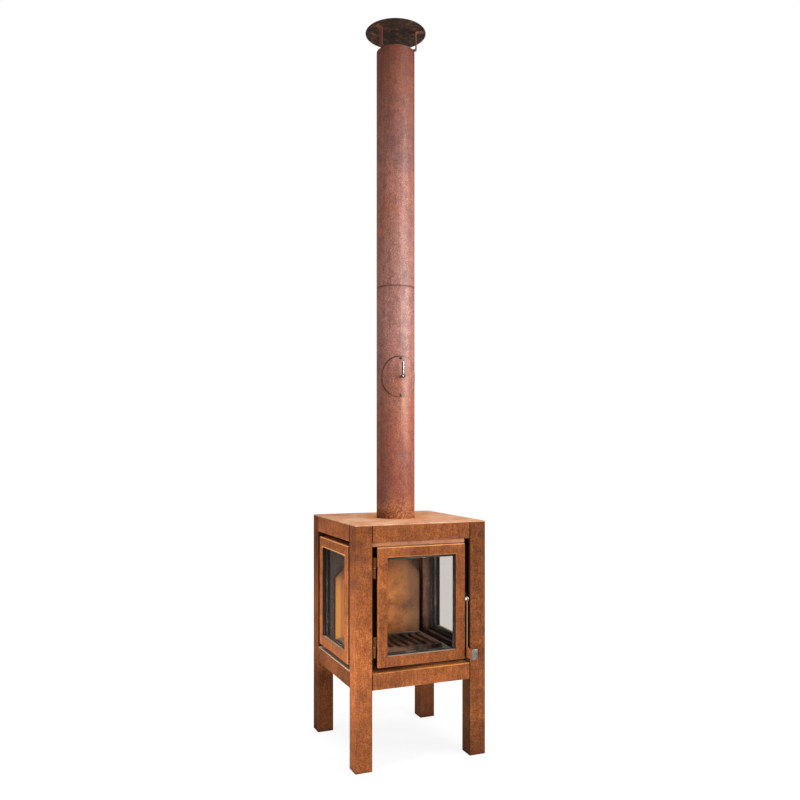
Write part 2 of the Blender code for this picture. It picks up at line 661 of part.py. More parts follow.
def drill_to_front(radius, lo, hi, z):
    """A round cutter that points out of the pipe's front from lo to hi."""
    return small_turned_to_front(((radius, lo), (radius, hi)), z)


def bolt_drills():
    """Cutters for the cover bolts' holes."""
    heights = [DAMPER_Z + side * COVER_BOLTS for side in (-1, 1)]
    return [drill_to_front(BOLT_RADIUS + 0.0004, 0.06, 0.1, z) for z in heights]


def make_damper(stove, damper):
    cut(add("damper_cover", saddle(), "flue_steel", stove, DAMPER_TURN), *bolt_drills())
    face = PIPE_RADIUS + COVER_GAP + COVER + GAP
    bolt = [(BOLT_RADIUS, face - BOLT_LENGTH), (BOLT_RADIUS, face), (BOLT_HEAD_RADIUS, face)]
    bolt += [(BOLT_HEAD_RADIUS, face + 0.003), (BOLT_HEAD_RADIUS - 0.002, face + 0.0045)]
    for level, side in (("lower", -1), ("upper", 1)):
        piece = small_turned_to_front(bolt, DAMPER_Z + side * COVER_BOLTS)
        add(f"damper_cover_bolt_{level}", piece, "stainless_steel", stove, DAMPER_TURN)

    end = 0.0005
    shaft = [(SHAFT_RADIUS, -SHAFT_REAR), (SHAFT_RADIUS, SHAFT_FRONT - end)]
    shaft.append((SHAFT_RADIUS - end, SHAFT_FRONT))
    piece = small_turned_to_front(shaft, DAMPER_Z)
    handled_shaft = add("damper_shaft", piece, "stainless_steel", damper, DAMPER_TURN)
    grip_radius = SHAFT_RADIUS * 0.95
    grip = ((grip_radius, DAMPER_Z), (grip_radius, DAMPER_Z + HANDLE_LENGTH - 0.001))
    grip += ((grip_radius - 0.001, DAMPER_Z + HANDLE_LENGTH),)
    grip_y = -(SHAFT_FRONT - SHAFT_RADIUS - 0.001)
    combine(handled_shaft, "UNION", turned(grip, SMALL_SIDES, (0, grip_y), closed=False))
    disc_x = SHAFT_RADIUS + GAP
    disc = turned(((DISC_RADIUS, disc_x), (DISC_RADIUS, disc_x + DISC)), closed=False)
    add("damper_disc", lay_along_x(disc, 0, DAMPER_Z), "sooted_steel", damper, DAMPER_TURN)


def saddle():
    """A round plate wrapped on the pipe's front, with a hole for the shaft."""
    hole, rings, sides = SHAFT_RADIUS + 0.0009, 5, 32
    inner_radius = PIPE_RADIUS + COVER_GAP
    outer_radius = inner_radius + COVER
    spread = [hole + (COVER_RADIUS - hole) * i / rings for i in range(rings + 1)]

    def loop(flat_radius, radius):
        points = []
        for i in range(sides):
            a = 2 * math.pi * i / sides
            turn = flat_radius * math.cos(a) / PIPE_RADIUS
            height = DAMPER_Z + flat_radius * math.sin(a)
            points.append((radius * math.sin(turn), -radius * math.cos(turn), height))
        return points

    loops = [loop(r, inner_radius) for r in spread] + [loop(r, outer_radius) for r in reversed(spread)]
    return bridge(bmesh.new(), loops, closed=True)


def cap_leg():
    """A bent strip, seen from the side as (radius, z): up inside the pipe, out over its rim, up to the cap
    and out under it."""
    width, thickness = CAP_LEG
    inside, outside, tab_end = CAP_LEG_RADII
    bend = 0.004
    top = PIPE_TOP + CAP_RISE - GAP - thickness / 2
    step = PIPE_TOP + thickness / 2 + 0.0022
    line = [(inside, PIPE_TOP - CAP_LEG_DEPTH)]
    line += arc((inside + bend, step - bend), bend, 180, 90, 3)
    line += arc((outside - bend, step + bend), bend, 270, 360, 3)
    line += arc((outside + bend, top - bend), bend, 180, 90, 3)
    line.append((tab_end, top))
    left, right = [], []
    for i, point in enumerate(line):
        before, after = line[max(i - 1, 0)], line[min(i + 1, len(line) - 1)]
        along = Vector((after[0] - before[0], after[1] - before[1])).normalized()
        side = Vector((-along.y, along.x)) * thickness / 2
        left.append(Vector(point) + side)
        right.append(Vector(point) - side)
    outline = [(-p.x, p.y) for p in left + right[::-1]]
    return prism(outline, -width / 2, width / 2, axis=0)


def make_rain_cap(stove):
    underside = PIPE_TOP + CAP_RISE
    edge = 0.0006
    disc = ((CAP_RADIUS - edge, underside), (CAP_RADIUS, underside + edge))
    disc += ((CAP_RADIUS, underside + CAP - edge), (CAP_RADIUS - edge, underside + CAP))
    add("cap_disc", turned(disc, closed=False), "sooted_steel", stove)
    for number, turn in enumerate(CAP_LEG_TURNS, 1):
        add(f"cap_leg_{number}", cap_leg(), "flue_steel", stove, math.radians(turn))


def build():
    clear_scene()
    stove = make_axis("stove", (0, 0, 0))
    stove.location.y = CENTRE_Y
    door = make_axis("door_axis", (HINGE_X, HINGE_Y, PANEL_MID), stove)
    lever = make_axis("lever_axis", (PANEL_HALF, LATCH_Y, LATCH_Z), door)
    damper = make_axis("damper_axis", (0, 0, DAMPER_Z), stove)
    make_posts(stove)
    make_rails(stove)
    make_top_plate(stove)
    make_firebox_walls(stove)
    make_firebox_floor_and_roof(stove)
    make_fire_bed(stove)
    make_side_windows(stove)
    make_rear_panel(stove)
    make_door(door)
    make_hinges(stove, door)
    make_latch(stove, door, lever)
    make_flue(stove)
    make_damper(stove, damper)
    make_rain_cap(stove)


build()
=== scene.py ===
"""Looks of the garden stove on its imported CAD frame: rusted steel, glass, soot and small hardware."""

import json
import math
from itertools import product

import bmesh
import bpy
from mathutils import Matrix, Vector

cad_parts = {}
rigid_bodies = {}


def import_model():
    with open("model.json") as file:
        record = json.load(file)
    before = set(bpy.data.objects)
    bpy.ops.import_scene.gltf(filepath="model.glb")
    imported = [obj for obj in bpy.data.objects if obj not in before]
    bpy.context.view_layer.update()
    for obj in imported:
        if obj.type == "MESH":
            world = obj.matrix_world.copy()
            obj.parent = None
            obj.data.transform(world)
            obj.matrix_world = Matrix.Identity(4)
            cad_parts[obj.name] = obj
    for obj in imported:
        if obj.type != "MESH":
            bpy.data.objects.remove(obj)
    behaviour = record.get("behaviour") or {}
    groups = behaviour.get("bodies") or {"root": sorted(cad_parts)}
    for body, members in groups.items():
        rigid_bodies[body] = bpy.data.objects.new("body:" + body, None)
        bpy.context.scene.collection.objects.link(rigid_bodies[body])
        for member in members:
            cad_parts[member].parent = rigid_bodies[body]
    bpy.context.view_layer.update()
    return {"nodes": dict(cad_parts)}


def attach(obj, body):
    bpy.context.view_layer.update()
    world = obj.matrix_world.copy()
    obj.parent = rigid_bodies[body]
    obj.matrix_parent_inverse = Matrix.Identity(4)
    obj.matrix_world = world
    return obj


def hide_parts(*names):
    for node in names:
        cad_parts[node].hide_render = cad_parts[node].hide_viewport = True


for obj in list(bpy.data.objects):
    bpy.data.objects.remove(obj, do_unlink=True)

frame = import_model()

# Places that the looks share, in metres in the row frame
AXIS_Y = 0.02065                 # the flue's axis, and the middle of the box
HALF = 0.260                     # half the box's width
TUBE = 0.065                     # square tube of the posts, and the depth of the rails
POST_INNER = HALF - TUBE         # middle of the box to the inner faces of the posts
RAIL_END = POST_INNER - 0.0006   # middle of the box to the ends of the rails
WALL_OUT = HALF - 0.050          # middle of the box to the outer faces of the firebox
PANEL_ACROSS = POST_INNER - 0.020    # half the width of the door and of the window frames
PANEL_RISE = 0.216               # half their height
PANEL_MID_Z = 0.582
PANEL_TOP = PANEL_MID_Z + PANEL_RISE
MEMBER = 0.038                   # width of their bars
OPENING_ACROSS = PANEL_ACROSS - MEMBER
OPENING_RISE = PANEL_RISE - MEMBER
REBATE = 0.008                   # opening to the edge of its glass, and of the retainer behind that
NECK_ACROSS = 0.164              # half the width and height of the necks round the firebox's openings
NECK_RISE = 0.200
PIPE_RADIUS = 0.075
PIPE_JOINT_Z = 1.783
FLUE_LOW_Z = 0.86                # the flue's colours run from here
FLUE_RISE = 1.90                 # over this height
DAMPER_Z = 1.430
DAMPER_TURN = math.radians(6.5)  # the damper's shaft faces this much left of the front
DAMPER_OUT = Vector((-math.sin(DAMPER_TURN), -math.cos(DAMPER_TURN), 0))
DAMPER_SIDE = Vector((math.cos(DAMPER_TURN), -math.sin(DAMPER_TURN), 0))
COVER_RADIUS = 0.0794            # the outline of the damper's cover, laid out flat
COVER_BEND = 0.0776              # the radius that it is bent to
COVER_BOLT_RISE = 0.072
COVER_FACE = 0.0784              # pipe axis to the seat of the cover's bolts
SHAFT_FRONT = 0.112              # pipe axis to the front end of the damper's shaft
UP = Vector((0, 0, 1))


# ---------------------------------------------------------------- shaders


class Look:
    """The node tree of one material, with short names for the nodes that the looks below use."""

    def __init__(self, name):
        self.material = bpy.data.materials.new(name)
        self.material.use_nodes = True
        self.tree = self.material.node_tree
        self.shader = self.tree.nodes["Principled BSDF"]
        coordinates = self.tree.nodes.new("ShaderNodeTexCoord")
        self.place, self.facing = coordinates.outputs["Object"], coordinates.outputs["Normal"]
        self.x, self.y, self.z = self.split(self.place)

    def put(self, socket, value):
        if isinstance(value, bpy.types.NodeSocket):
            self.tree.links.new(value, socket)
        elif isinstance(value, tuple) and len(value) == 3 and socket.type == "RGBA":
            socket.default_value = (*value, 1.0)
        else:
            socket.default_value = value

    def node(self, kind, inputs=(), **settings):
        made = self.tree.nodes.new(kind)
        for key, value in settings.items():
            setattr(made, key, value)
        for key, value in dict(inputs).items():
            self.put(made.inputs[key], value)
        return made

    def split(self, vector):
        made = self.node("ShaderNodeSeparateXYZ", {0: vector})
        return made.outputs

    def math(self, operation, a, b=0.0, clamp=False):
        made = self.node("ShaderNodeMath", {0: a, 1: b}, operation=operation, use_clamp=clamp)
        return made.outputs[0]

    def plus(self, a, b):
        return self.math("ADD", a, b)

    def minus(self, a, b):
        return self.math("SUBTRACT", a, b)

    def times(self, a, b):
        return self.math("MULTIPLY", a, b)

    def size(self, value):
        return self.math("ABSOLUTE", value)

    def length(self, a, b):
        """How far the point a, b is from 0, 0."""
        return self.math("SQRT", self.plus(self.times(a, a), self.times(b, b)))

    def blend(self, a, share_a, b, share_b):
        """A weighted sum of two values."""
        return self.plus(self.times(a, share_a), self.times(b, share_b))

    def swing(self, value, low, high):
        """Spreads the usual range of a noise, 0.3 to 0.7, over low to high."""
        return self.remap(value, 0.3, 0.7, low, high)

    def dot(self, vector, direction):
        made = self.node("ShaderNodeVectorMath", {0: vector, 1: tuple(direction)}, operation="DOT_PRODUCT")
        return made.outputs["Value"]

    def remap(self, value, low, high, to_low=0.0, to_high=1.0):
        inputs = {"Value": value, "From Min": low, "From Max": high, "To Min": to_low, "To Max": to_high}
        made = self.node("ShaderNodeMapRange", inputs, interpolation_type="SMOOTHSTEP")
        return made.outputs["Result"]

    def band(self, value, middle, half, soft):
        """1 where value is within half of middle, falling to 0 over soft."""
        away = self.size(self.minus(value, middle))
        return self.remap(away, half, half + soft, 1.0, 0.0)

    def noise(self, scale, detail=4.0, roughness=0.6, stretch=(1, 1, 1), shift=(0, 0, 0), distortion=0.0):
        inputs = {"Vector": self.place, "Location": shift, "Scale": stretch}
        moved = self.node("ShaderNodeMapping", inputs).outputs["Vector"]
        inputs = {"Vector": moved, "Scale": scale, "Detail": detail, "Roughness": roughness}
        inputs["Distortion"] = distortion
        return self.node("ShaderNodeTexNoise", inputs).outputs["Fac"]

    def ramp(self, value, *stops):
        made = self.node("ShaderNodeValToRGB", {"Fac": value})
        elements = made.color_ramp.elements
        while len(elements) < len(stops):
            elements.new(0.5)
        for element, (position, colour) in zip(elements, stops):
            element.position = position
            element.color = (*colour, 1.0)
        return made.outputs["Color"]

    def mix(self, factor, a, b, blend="MIX"):
        made = self.node("ShaderNodeMix", {0: factor, 6: a, 7: b}, data_type="RGBA", blend_type=blend)
        return made.outputs[2]

    def shade(self, colour, value):
        """colour times a grey value."""
        grey = self.node("ShaderNodeCombineColor", {0: value, 1: value, 2: value}).outputs[0]
        return self.mix(1.0, colour, grey, "MULTIPLY")

    def corner_shade(self, distance, samples=4):
        """1 in the open, lower in corners and gaps; the looks multiply colours by it as painted shade."""
        made = self.node("ShaderNodeAmbientOcclusion", {"Distance": distance}, samples=samples)
        return made.outputs["AO"]

    def edge(self):
        """1 on the rounded edges of square-cut pieces, 0 on their flat faces."""
        parts = [self.size(part) for part in self.split(self.facing)]
        largest = self.math("MAXIMUM", self.math("MAXIMUM", parts[0], parts[1]), parts[2])
        return self.remap(largest, 0.97, 0.80)

    def bump(self, *heights):
        """Adds (height, distance in metres) pairs to the shader's normal, in order."""
        normal = None
        for height, distance in heights:
            inputs = {"Height": height, "Distance": distance}
            if normal is not None:
                inputs["Normal"] = normal
            normal = self.node("ShaderNodeBump", inputs).outputs["Normal"]
        self.put(self.shader.inputs["Normal"], normal)

    def finish(self, colour, roughness, metallic=0.0, specular=0.5):
        self.put(self.shader.inputs["Base Color"], colour)
        self.put(self.shader.inputs["Roughness"], roughness)
        self.put(self.shader.inputs["Metallic"], metallic)
        self.put(self.shader.inputs["Specular IOR Level"], specular)
        return self.material


def seed(name):
    """A fixed offset for a piece's pattern, so that no two pieces repeat it."""
    total = sum((i + 1) * ord(letter) for i, letter in enumerate(name))
    return (total % 97 * 0.37, total % 89 * 0.41, total % 83 * 0.43)


RUST = (
    (0.30, (0.080, 0.029, 0.016)),
    (0.42, (0.180, 0.054, 0.020)),
    (0.50, (0.260, 0.077, 0.023)),
    (0.58, (0.335, 0.102, 0.028)),
    (0.70, (0.460, 0.169, 0.052)),
)
GLASS_IOR = 1.06                 # low, so that thin panes stay clear of glare
SOOT_BLACK = (0.020, 0.016, 0.014)
GAP_SHADE_BLACK = (0.030, 0.013, 0.010)
POST_GAP_SHADE = (0.036, 0.013, 0.008)
SPECK_BROWN = (0.060, 0.026, 0.017)
STAIN_BROWN = (0.105, 0.050, 0.036)
MARK_BROWN = (0.085, 0.035, 0.022)
EDGE_WEAR_AND_HIGHLIGHT = (0.600, 0.235, 0.070)
CORNER_BROWN = (0.120, 0.045, 0.022)
SEAM_BLACK = (0.020, 0.009, 0.007)


def front_of(look, side):
    """Across and depth coordinates of the panel on one side of the box, as sockets."""
    away = look.minus(look.y, AXIS_Y)
    if side == "front":
        return look.size(look.x), look.plus(away, HALF)
    depth = look.times(look.x, 1.0 if side == "left" else -1.0)
    return look.size(away), look.plus(depth, HALF)


def corten(name, tone_and_shade=1.0, kind="", spots=()):
    """Weathering steel: clouded rust, fine streaks that rain has drawn down, dark specks, and rounded
    edges that are rubbed and partly painted as highlights, with painted shade in corners. kind says what a
    piece is, and so where it is stained and where shade and highlights are painted on it: "post", "rail"
    (below), "top rail", or the side of the box whose panel it frames. spots are dark marks: x, z, radius
    and strength."""
    look = Look("corten_" + name)
    shift = seed(name)
    clouds = look.noise(8.0, 6.0, 0.65, shift=shift, distortion=0.7)
    patches = look.noise(34.0, 6.0, 0.70, shift=shift, distortion=0.4)
    streaks = look.noise(16.0, 4.0, 0.6, stretch=(6.0, 6.0, 0.9), shift=shift)
    brushed = look.noise(240.0, 3.0, 0.6, stretch=(1.0, 1.0, 0.12), shift=shift)
    grain = look.noise(220.0, 3.0, 0.75, shift=shift)
    value = look.blend(clouds, 0.40, patches, 0.36)
    value = look.plus(value, look.times(streaks, 0.24))
    value = look.plus(look.times(value, 0.76), 0.12)
    colour = look.ramp(value, *RUST)
    broad = look.noise(3.2, 2.0, 0.5, shift=shift)
    colour = look.shade(colour, look.remap(broad, 0.36, 0.64, 0.80, 1.16))
    fine = look.remap(grain, 0.35, 0.65, 0.62, 1.32)
    fine = look.times(fine, look.swing(brushed, 0.84, 1.14))
    colour = look.shade(colour, fine)
    least = 0.560 if name in SPECKLED else 0.625
    specks = look.remap(look.noise(130.0, 3.0, 0.6, shift=shift), least, least + 0.09)
    colour = look.mix(look.times(specks, 0.60), colour, SPECK_BROWN)
    stains = look.remap(look.noise(13.0, 6.0, 0.72, shift=shift, distortion=1.2), 0.55, 0.72)
    colour = look.mix(look.times(stains, 0.38), colour, STAIN_BROWN)
    for x, z, radius, strength in spots:
        dx, dz = look.minus(look.x, x), look.minus(look.z, z)
        mark = look.times(look.remap(look.length(dx, dz), radius, radius * 0.4), strength)
        colour = look.mix(mark, colour, MARK_BROWN)
    left, _, up = look.split(look.facing)
    # Rounded edges, more where they face up: on the posts a dark brown line; elsewhere rubbed orange and
    # partly a painted highlight
    edge_colouring = look.times(look.edge(), look.remap(patches, 0.36, 0.62, 0.20, 0.60))
    edge_colouring = look.math("MULTIPLY", edge_colouring, look.remap(up, 0.0, 0.5, 0.8, 1.6), clamp=True)
    colour = look.mix(edge_colouring, colour, CORNER_BROWN if kind == "post" else EDGE_WEAR_AND_HIGHLIGHT)
    # Painted shade in corners and gaps, times the piece's brightness, which is itself partly painted shade
    open_to = look.remap(look.corner_shade(0.022), 0.25, 0.95, 0.35, 1.0)
    colour = look.shade(colour, look.times(open_to, tone_and_shade))
    if kind == "post":
        # Painted shade: each post's left face is dimmed
        colour = look.shade(colour, look.remap(left, -0.3, -0.8, 1.0, LEFT_FACE_SHADE[name]))
        # Painted shade: near-black on the post's faces in the gaps beside the panels
        colour = look.mix(post_shade(look), colour, POST_GAP_SHADE)
        # Painted shade: the rear legs dim below the box
        if "rear" in name:
            colour = look.shade(colour, look.remap(look.z, 0.20, 0.31, 0.45, 1.0))
    elif "rail" in kind:
        sideways = "left" in name or "right" in name
        end = look.size(look.minus(look.y, AXIS_Y) if sideways else look.x)
        seam = look.remap(end, RAIL_END - 0.0028, RAIL_END - 0.0012, 0.0, 0.9)
        colour = look.mix(seam, colour, SEAM_BLACK)
        if kind == "rail":
            # Painted light on the top faces of the bottom rails
            colour = look.mix(look.remap(up, 0.6, 0.9), colour, look.shade(painted_ledge_light(look), fine))
    elif kind:
        reveal, gap, ledge, rim = frame_shade(look, kind, up)
        if kind == "front":
            # Painted light and shade: the door is brighter at its left and dimmed a little at its foot
            to_right = look.remap(look.x, -0.15, 0.08, 1.06, 0.88)
            to_foot = look.remap(look.z, 0.42, 0.38, 1.0, 0.93)
            colour = look.shade(colour, look.times(to_right, to_foot))
        # Painted highlight along the top edge of each frame
        brow = look.remap(look.z, PANEL_TOP - 0.0042, PANEL_TOP - 0.0022)
        brow = look.times(brow, look.remap(patches, 0.35, 0.6, 0.65, 0.95))
        colour = look.mix(brow, colour, (0.740, 0.330, 0.120))
        # Painted shade: near-black on the frame's sides in the gap round it
        colour = look.mix(look.times(gap, 0.88), colour, GAP_SHADE_BLACK)
        # Painted highlight along the top of the opening, faint on the door
        rim = look.times(rim, 0.20 if kind == "front" else 0.90)
        colour = look.mix(rim, colour, (0.950, 0.430, 0.090))
        colour = look.mix(reveal, colour, SOOT_BLACK)
        # Painted highlight: the pale ledge below the glass
        colour = look.mix(ledge, colour, (0.420, 0.290, 0.200))
    if name == "latch_lever":
        front = look.remap(look.split(look.facing)[1], -0.7, -0.95)
        colour = look.mix(front, colour, (0.220, 0.115, 0.080))
    look.bump((patches, 0.0007), (grain, 0.00025), (specks, -0.00035))
    roughness = look.swing(patches, 0.88, 0.64)
    return look.finish(colour, roughness, specular=0.08)


def post_shade(look):
    """1 where a post faces a gap beside a panel, or the inside of the firebox; there the post is painted
    near-black as shade.
    """
    away = look.size(look.minus(look.y, AXIS_Y))
    least = look.math("MINIMUM", look.size(look.x), away)
    inner = look.remap(least, POST_INNER + 0.0016, POST_INNER + 0.0002)
    return look.times(inner, look.band(look.z, PANEL_MID_Z, PANEL_RISE + 0.012, 0.008))


def painted_ledge_light(look):
    """Colour of the bottom rails' top faces, painted lighter than their sides as light from above: bright
    orange at the front, more so to the right, and pale further back.
    """
    inner_face = AXIS_Y - POST_INNER
    front = look.remap(look.y, inner_face + 0.0043, inner_face - 0.0017)
    lit_front = look.mix(look.remap(look.x, -0.12, 0.10), (0.420, 0.150, 0.050), (0.850, 0.330, 0.080))
    return look.mix(front, (0.680, 0.530, 0.420), lit_front)


def frame_shade(look, side, up):
    """Four masks of a frame: its black reveal and back; its sides in the gap, painted near-black as shade;
    the ledge below the glass, painted pale as a highlight; and the rim at the top of its opening, painted
    bright as a highlight."""
    across, depth = front_of(look, side)
    rise = look.size(look.minus(look.z, PANEL_MID_Z))
    beside, above = look.minus(across, OPENING_ACROSS), look.minus(rise, OPENING_RISE)
    inward = look.math("MAXIMUM", beside, above)
    inner = look.times(look.remap(inward, 0.0012, 0.0002), look.remap(depth, 0.0010, 0.0022))
    ledge = look.times(inner, look.remap(up, 0.5, 0.8))
    within_across = look.remap(across, PANEL_ACROSS - 0.0005, PANEL_ACROSS - 0.0015)
    within_rise = look.remap(rise, PANEL_RISE - 0.0005, PANEL_RISE - 0.0015)
    within = look.times(within_across, within_rise)
    behind = look.times(within, look.remap(depth, 0.0145, 0.0155))
    inner = look.math("MAXIMUM", inner, behind)
    edge = look.remap(across, PANEL_ACROSS - 0.0015, PANEL_ACROSS - 0.0003)
    sides = look.times(edge, look.remap(depth, 0.0030, 0.0060))
    upper = look.remap(look.z, PANEL_MID_Z + OPENING_RISE - 0.008, PANEL_MID_Z + OPENING_RISE - 0.001)
    rim = look.times(look.remap(inward, 0.0034, 0.0020), upper)
    return inner, sides, ledge, rim


def flue(name):
    """The flue's rust: orange and speckled at its foot, pinkish grey half way up, dark red at its top. The
    damper's cover has a dark outline of painted shade, strongest on its left, and rust has run down from
    its lower bolt. The pipe's left side is painted into shade, most near its foot."""
    look = Look("flue_" + name)
    shift = seed("flue")
    height = look.times(look.minus(look.z, FLUE_LOW_Z), 1 / FLUE_RISE)
    level = look.ramp(
        height,
        (0.00, (0.215, 0.042, 0.014)),
        (0.16, (0.355, 0.098, 0.052)),
        (0.42, (0.450, 0.200, 0.158)),
        (0.70, (0.385, 0.152, 0.112)),
        (0.97, (0.215, 0.060, 0.032)),
    )
    clouds = look.noise(6.5, 6.0, 0.62, stretch=(1, 1, 0.6), shift=shift, distortion=0.5)
    patches = look.noise(30.0, 5.0, 0.65, shift=shift)
    grain = look.noise(230.0, 3.0, 0.7, shift=shift)
    streaks = look.noise(20.0, 4.0, 0.6, stretch=(3, 3, 0.16), shift=shift)
    orange = look.remap(clouds, 0.50, 0.68)
    colour = look.mix(look.times(orange, 0.60), level, (0.440, 0.120, 0.042))
    mauve = look.remap(clouds, 0.46, 0.32)
    colour = look.mix(look.times(mauve, 0.55), colour, (0.190, 0.090, 0.085))
    value = look.plus(look.swing(patches, -0.18, 0.18), look.swing(streaks, 0.86, 1.10))
    colour = look.shade(colour, look.times(value, look.remap(grain, 0.34, 0.66, 0.60, 1.32)))
    specks = look.remap(look.noise(130.0, 3.0, 0.6, shift=shift), 0.60, 0.70)
    colour = look.mix(look.times(specks, 0.45), colour, (0.090, 0.036, 0.026))

    foot = look.remap(look.z, 0.99, 0.90)
    flecks = look.remap(look.noise(150.0, 3.0, 0.7, shift=shift), 0.47, 0.56)
    crowding = look.times(foot, look.remap(clouds, 0.36, 0.56, 0.35, 1.0))
    flecks = look.times(flecks, crowding)
    colour = look.mix(look.times(foot, 0.40), colour, (0.165, 0.030, 0.012))
    colour = look.mix(look.times(flecks, 0.75), colour, (0.640, 0.250, 0.062))

    side = look.minus(look.dot(look.place, DAMPER_SIDE), AXIS_Y * DAMPER_SIDE.y)
    front = look.remap(look.dot(look.place, DAMPER_OUT), 0.0, 0.03)
    bent = look.times(side, 1 / COVER_BEND)
    along = look.times(look.math("ARCSINE", bent), COVER_BEND)
    rise = look.minus(look.z, DAMPER_Z)
    away = look.length(along, rise)
    # Painted shade: a dark line round the damper's cover, fading on its right
    rim = look.times(look.band(away, COVER_RADIUS, 0.0012, 0.0018), front)
    rim = look.times(rim, look.remap(side, 0.035, -0.020, 0.30, 0.95))
    colour = look.mix(rim, colour, (0.050, 0.022, 0.017))
    low = look.remap(rise, -0.045, -0.078)
    below = look.times(look.band(away, COVER_RADIUS + 0.0021, 0.0015, 0.004), low)
    tint = look.times(below, front)
    colour = look.mix(look.times(tint, 0.5), colour, (0.480, 0.165, 0.050))
    wander = look.plus(side, look.swing(patches, -0.003, 0.003))
    run = look.band(wander, 0.011, 0.001, 0.011)
    run = look.times(run, look.band(rise, -0.100, 0.020, 0.060))
    fading = look.remap(rise, -0.17, -0.09, 0.20, 0.75)
    run = look.times(look.times(run, front), fading)
    run = look.times(run, look.remap(rise, -COVER_BOLT_RISE, -COVER_BOLT_RISE - 0.010))
    colour = look.mix(run, colour, (0.600, 0.225, 0.060))

    joint = look.band(look.z, PIPE_JOINT_Z, 0.0010, 0.006)
    joint = look.times(joint, look.remap(patches, 0.35, 0.55, 0.35, 0.80))
    colour = look.mix(joint, colour, (0.200, 0.070, 0.038))
    # Painted shade at the pipe joint and round the damper's cover
    colour = look.shade(colour, look.remap(look.corner_shade(0.006), 0.25, 0.95, 0.60, 1.0))
    # Painted shade on the pipe's left side, strongest near its foot
    left_shade = look.remap(look.z, 0.95, 1.20, 0.42, 0.18)
    left_shade = look.times(look.remap(side, -0.015, -0.070), left_shade)
    colour = look.shade(colour, look.minus(1.0, left_shade))
    radius = look.length(look.x, look.minus(look.y, AXIS_Y))
    colour = look.mix(look.remap(radius, PIPE_RADIUS - 0.0004, PIPE_RADIUS - 0.0010), colour, SOOT_BLACK)
    look.bump((patches, 0.0005), (grain, 0.00020), (flecks, 0.0003))
    matt = look.remap(look.z, 1.30, 1.05, 0.0, 0.25)
    roughness = look.plus(look.swing(patches, 0.48, 0.36), matt)
    return look.finish(colour, roughness, specular=0.6)


def top_plate_look():
    """The top plate: pale rust, with an orange ring of scale round the foot of the flue."""
    look = Look("corten_top_plate")
    shift = seed("top_plate")
    clouds = look.noise(6.0, 6.0, 0.62, shift=shift, distortion=0.8)
    patches = look.noise(34.0, 5.0, 0.65, shift=shift)
    grain = look.noise(420.0, 3.0, 0.7, shift=shift)
    value = look.blend(clouds, 0.6, patches, 0.4)
    colour = look.ramp(
        value,
        (0.32, (0.400, 0.145, 0.060)),
        (0.45, (0.580, 0.260, 0.130)),
        (0.56, (0.720, 0.385, 0.225)),
        (0.70, (0.800, 0.510, 0.350)),
    )
    radius = look.length(look.x, look.minus(look.y, AXIS_Y))
    ring = look.remap(look.plus(radius, look.swing(patches, -0.02, 0.02)), 0.165, 0.090)
    colour = look.mix(look.times(ring, 0.85), colour, (0.680, 0.245, 0.045))
    colour = look.shade(colour, look.swing(grain, 0.86, 1.10))
    # Painted highlight along the plate's rounded edges
    colour = look.mix(look.times(look.edge(), 0.5), colour, (0.700, 0.380, 0.200))
    # Painted shade in corners, round the foot of the flue
    colour = look.shade(colour, look.remap(look.corner_shade(0.012), 0.2, 0.9, 0.5, 1.0))
    look.bump((patches, 0.0006), (grain, 0.0002))
    return look.finish(colour, look.swing(patches, 0.72, 0.55), specular=0.5)


def soot(name, rust=0.25, light=1.0):
    """Heat-blackened steel: matt soot with ashy patches, and rust showing through."""
    look = Look("soot_" + name)
    shift = seed(name)
    clouds = look.noise(9.0, 6.0, 0.65, shift=shift, distortion=0.8)
    patches = look.noise(46.0, 5.0, 0.65, shift=shift)
    grain = look.noise(500.0, 3.0, 0.7, shift=shift)
    colour = look.ramp(
        look.blend(clouds, 0.6, patches, 0.4),
        (0.30, (0.014 * light, 0.012 * light, 0.011 * light)),
        (0.50, (0.034 * light, 0.028 * light, 0.024 * light)),
        (0.70, (0.075 * light, 0.062 * light, 0.052 * light)),
    )
    shows = look.remap(look.noise(16.0, 5.0, 0.7, shift=shift, distortion=1.4), 0.56, 0.70)
    colour = look.mix(look.times(shows, rust), colour, (0.300, 0.085, 0.030))
    colour = look.shade(colour, look.swing(grain, 0.82, 1.15))
    look.bump((patches, 0.0005), (grain, 0.0002))
    return look.finish(colour, look.swing(clouds, 0.92, 0.70), specular=0.3)


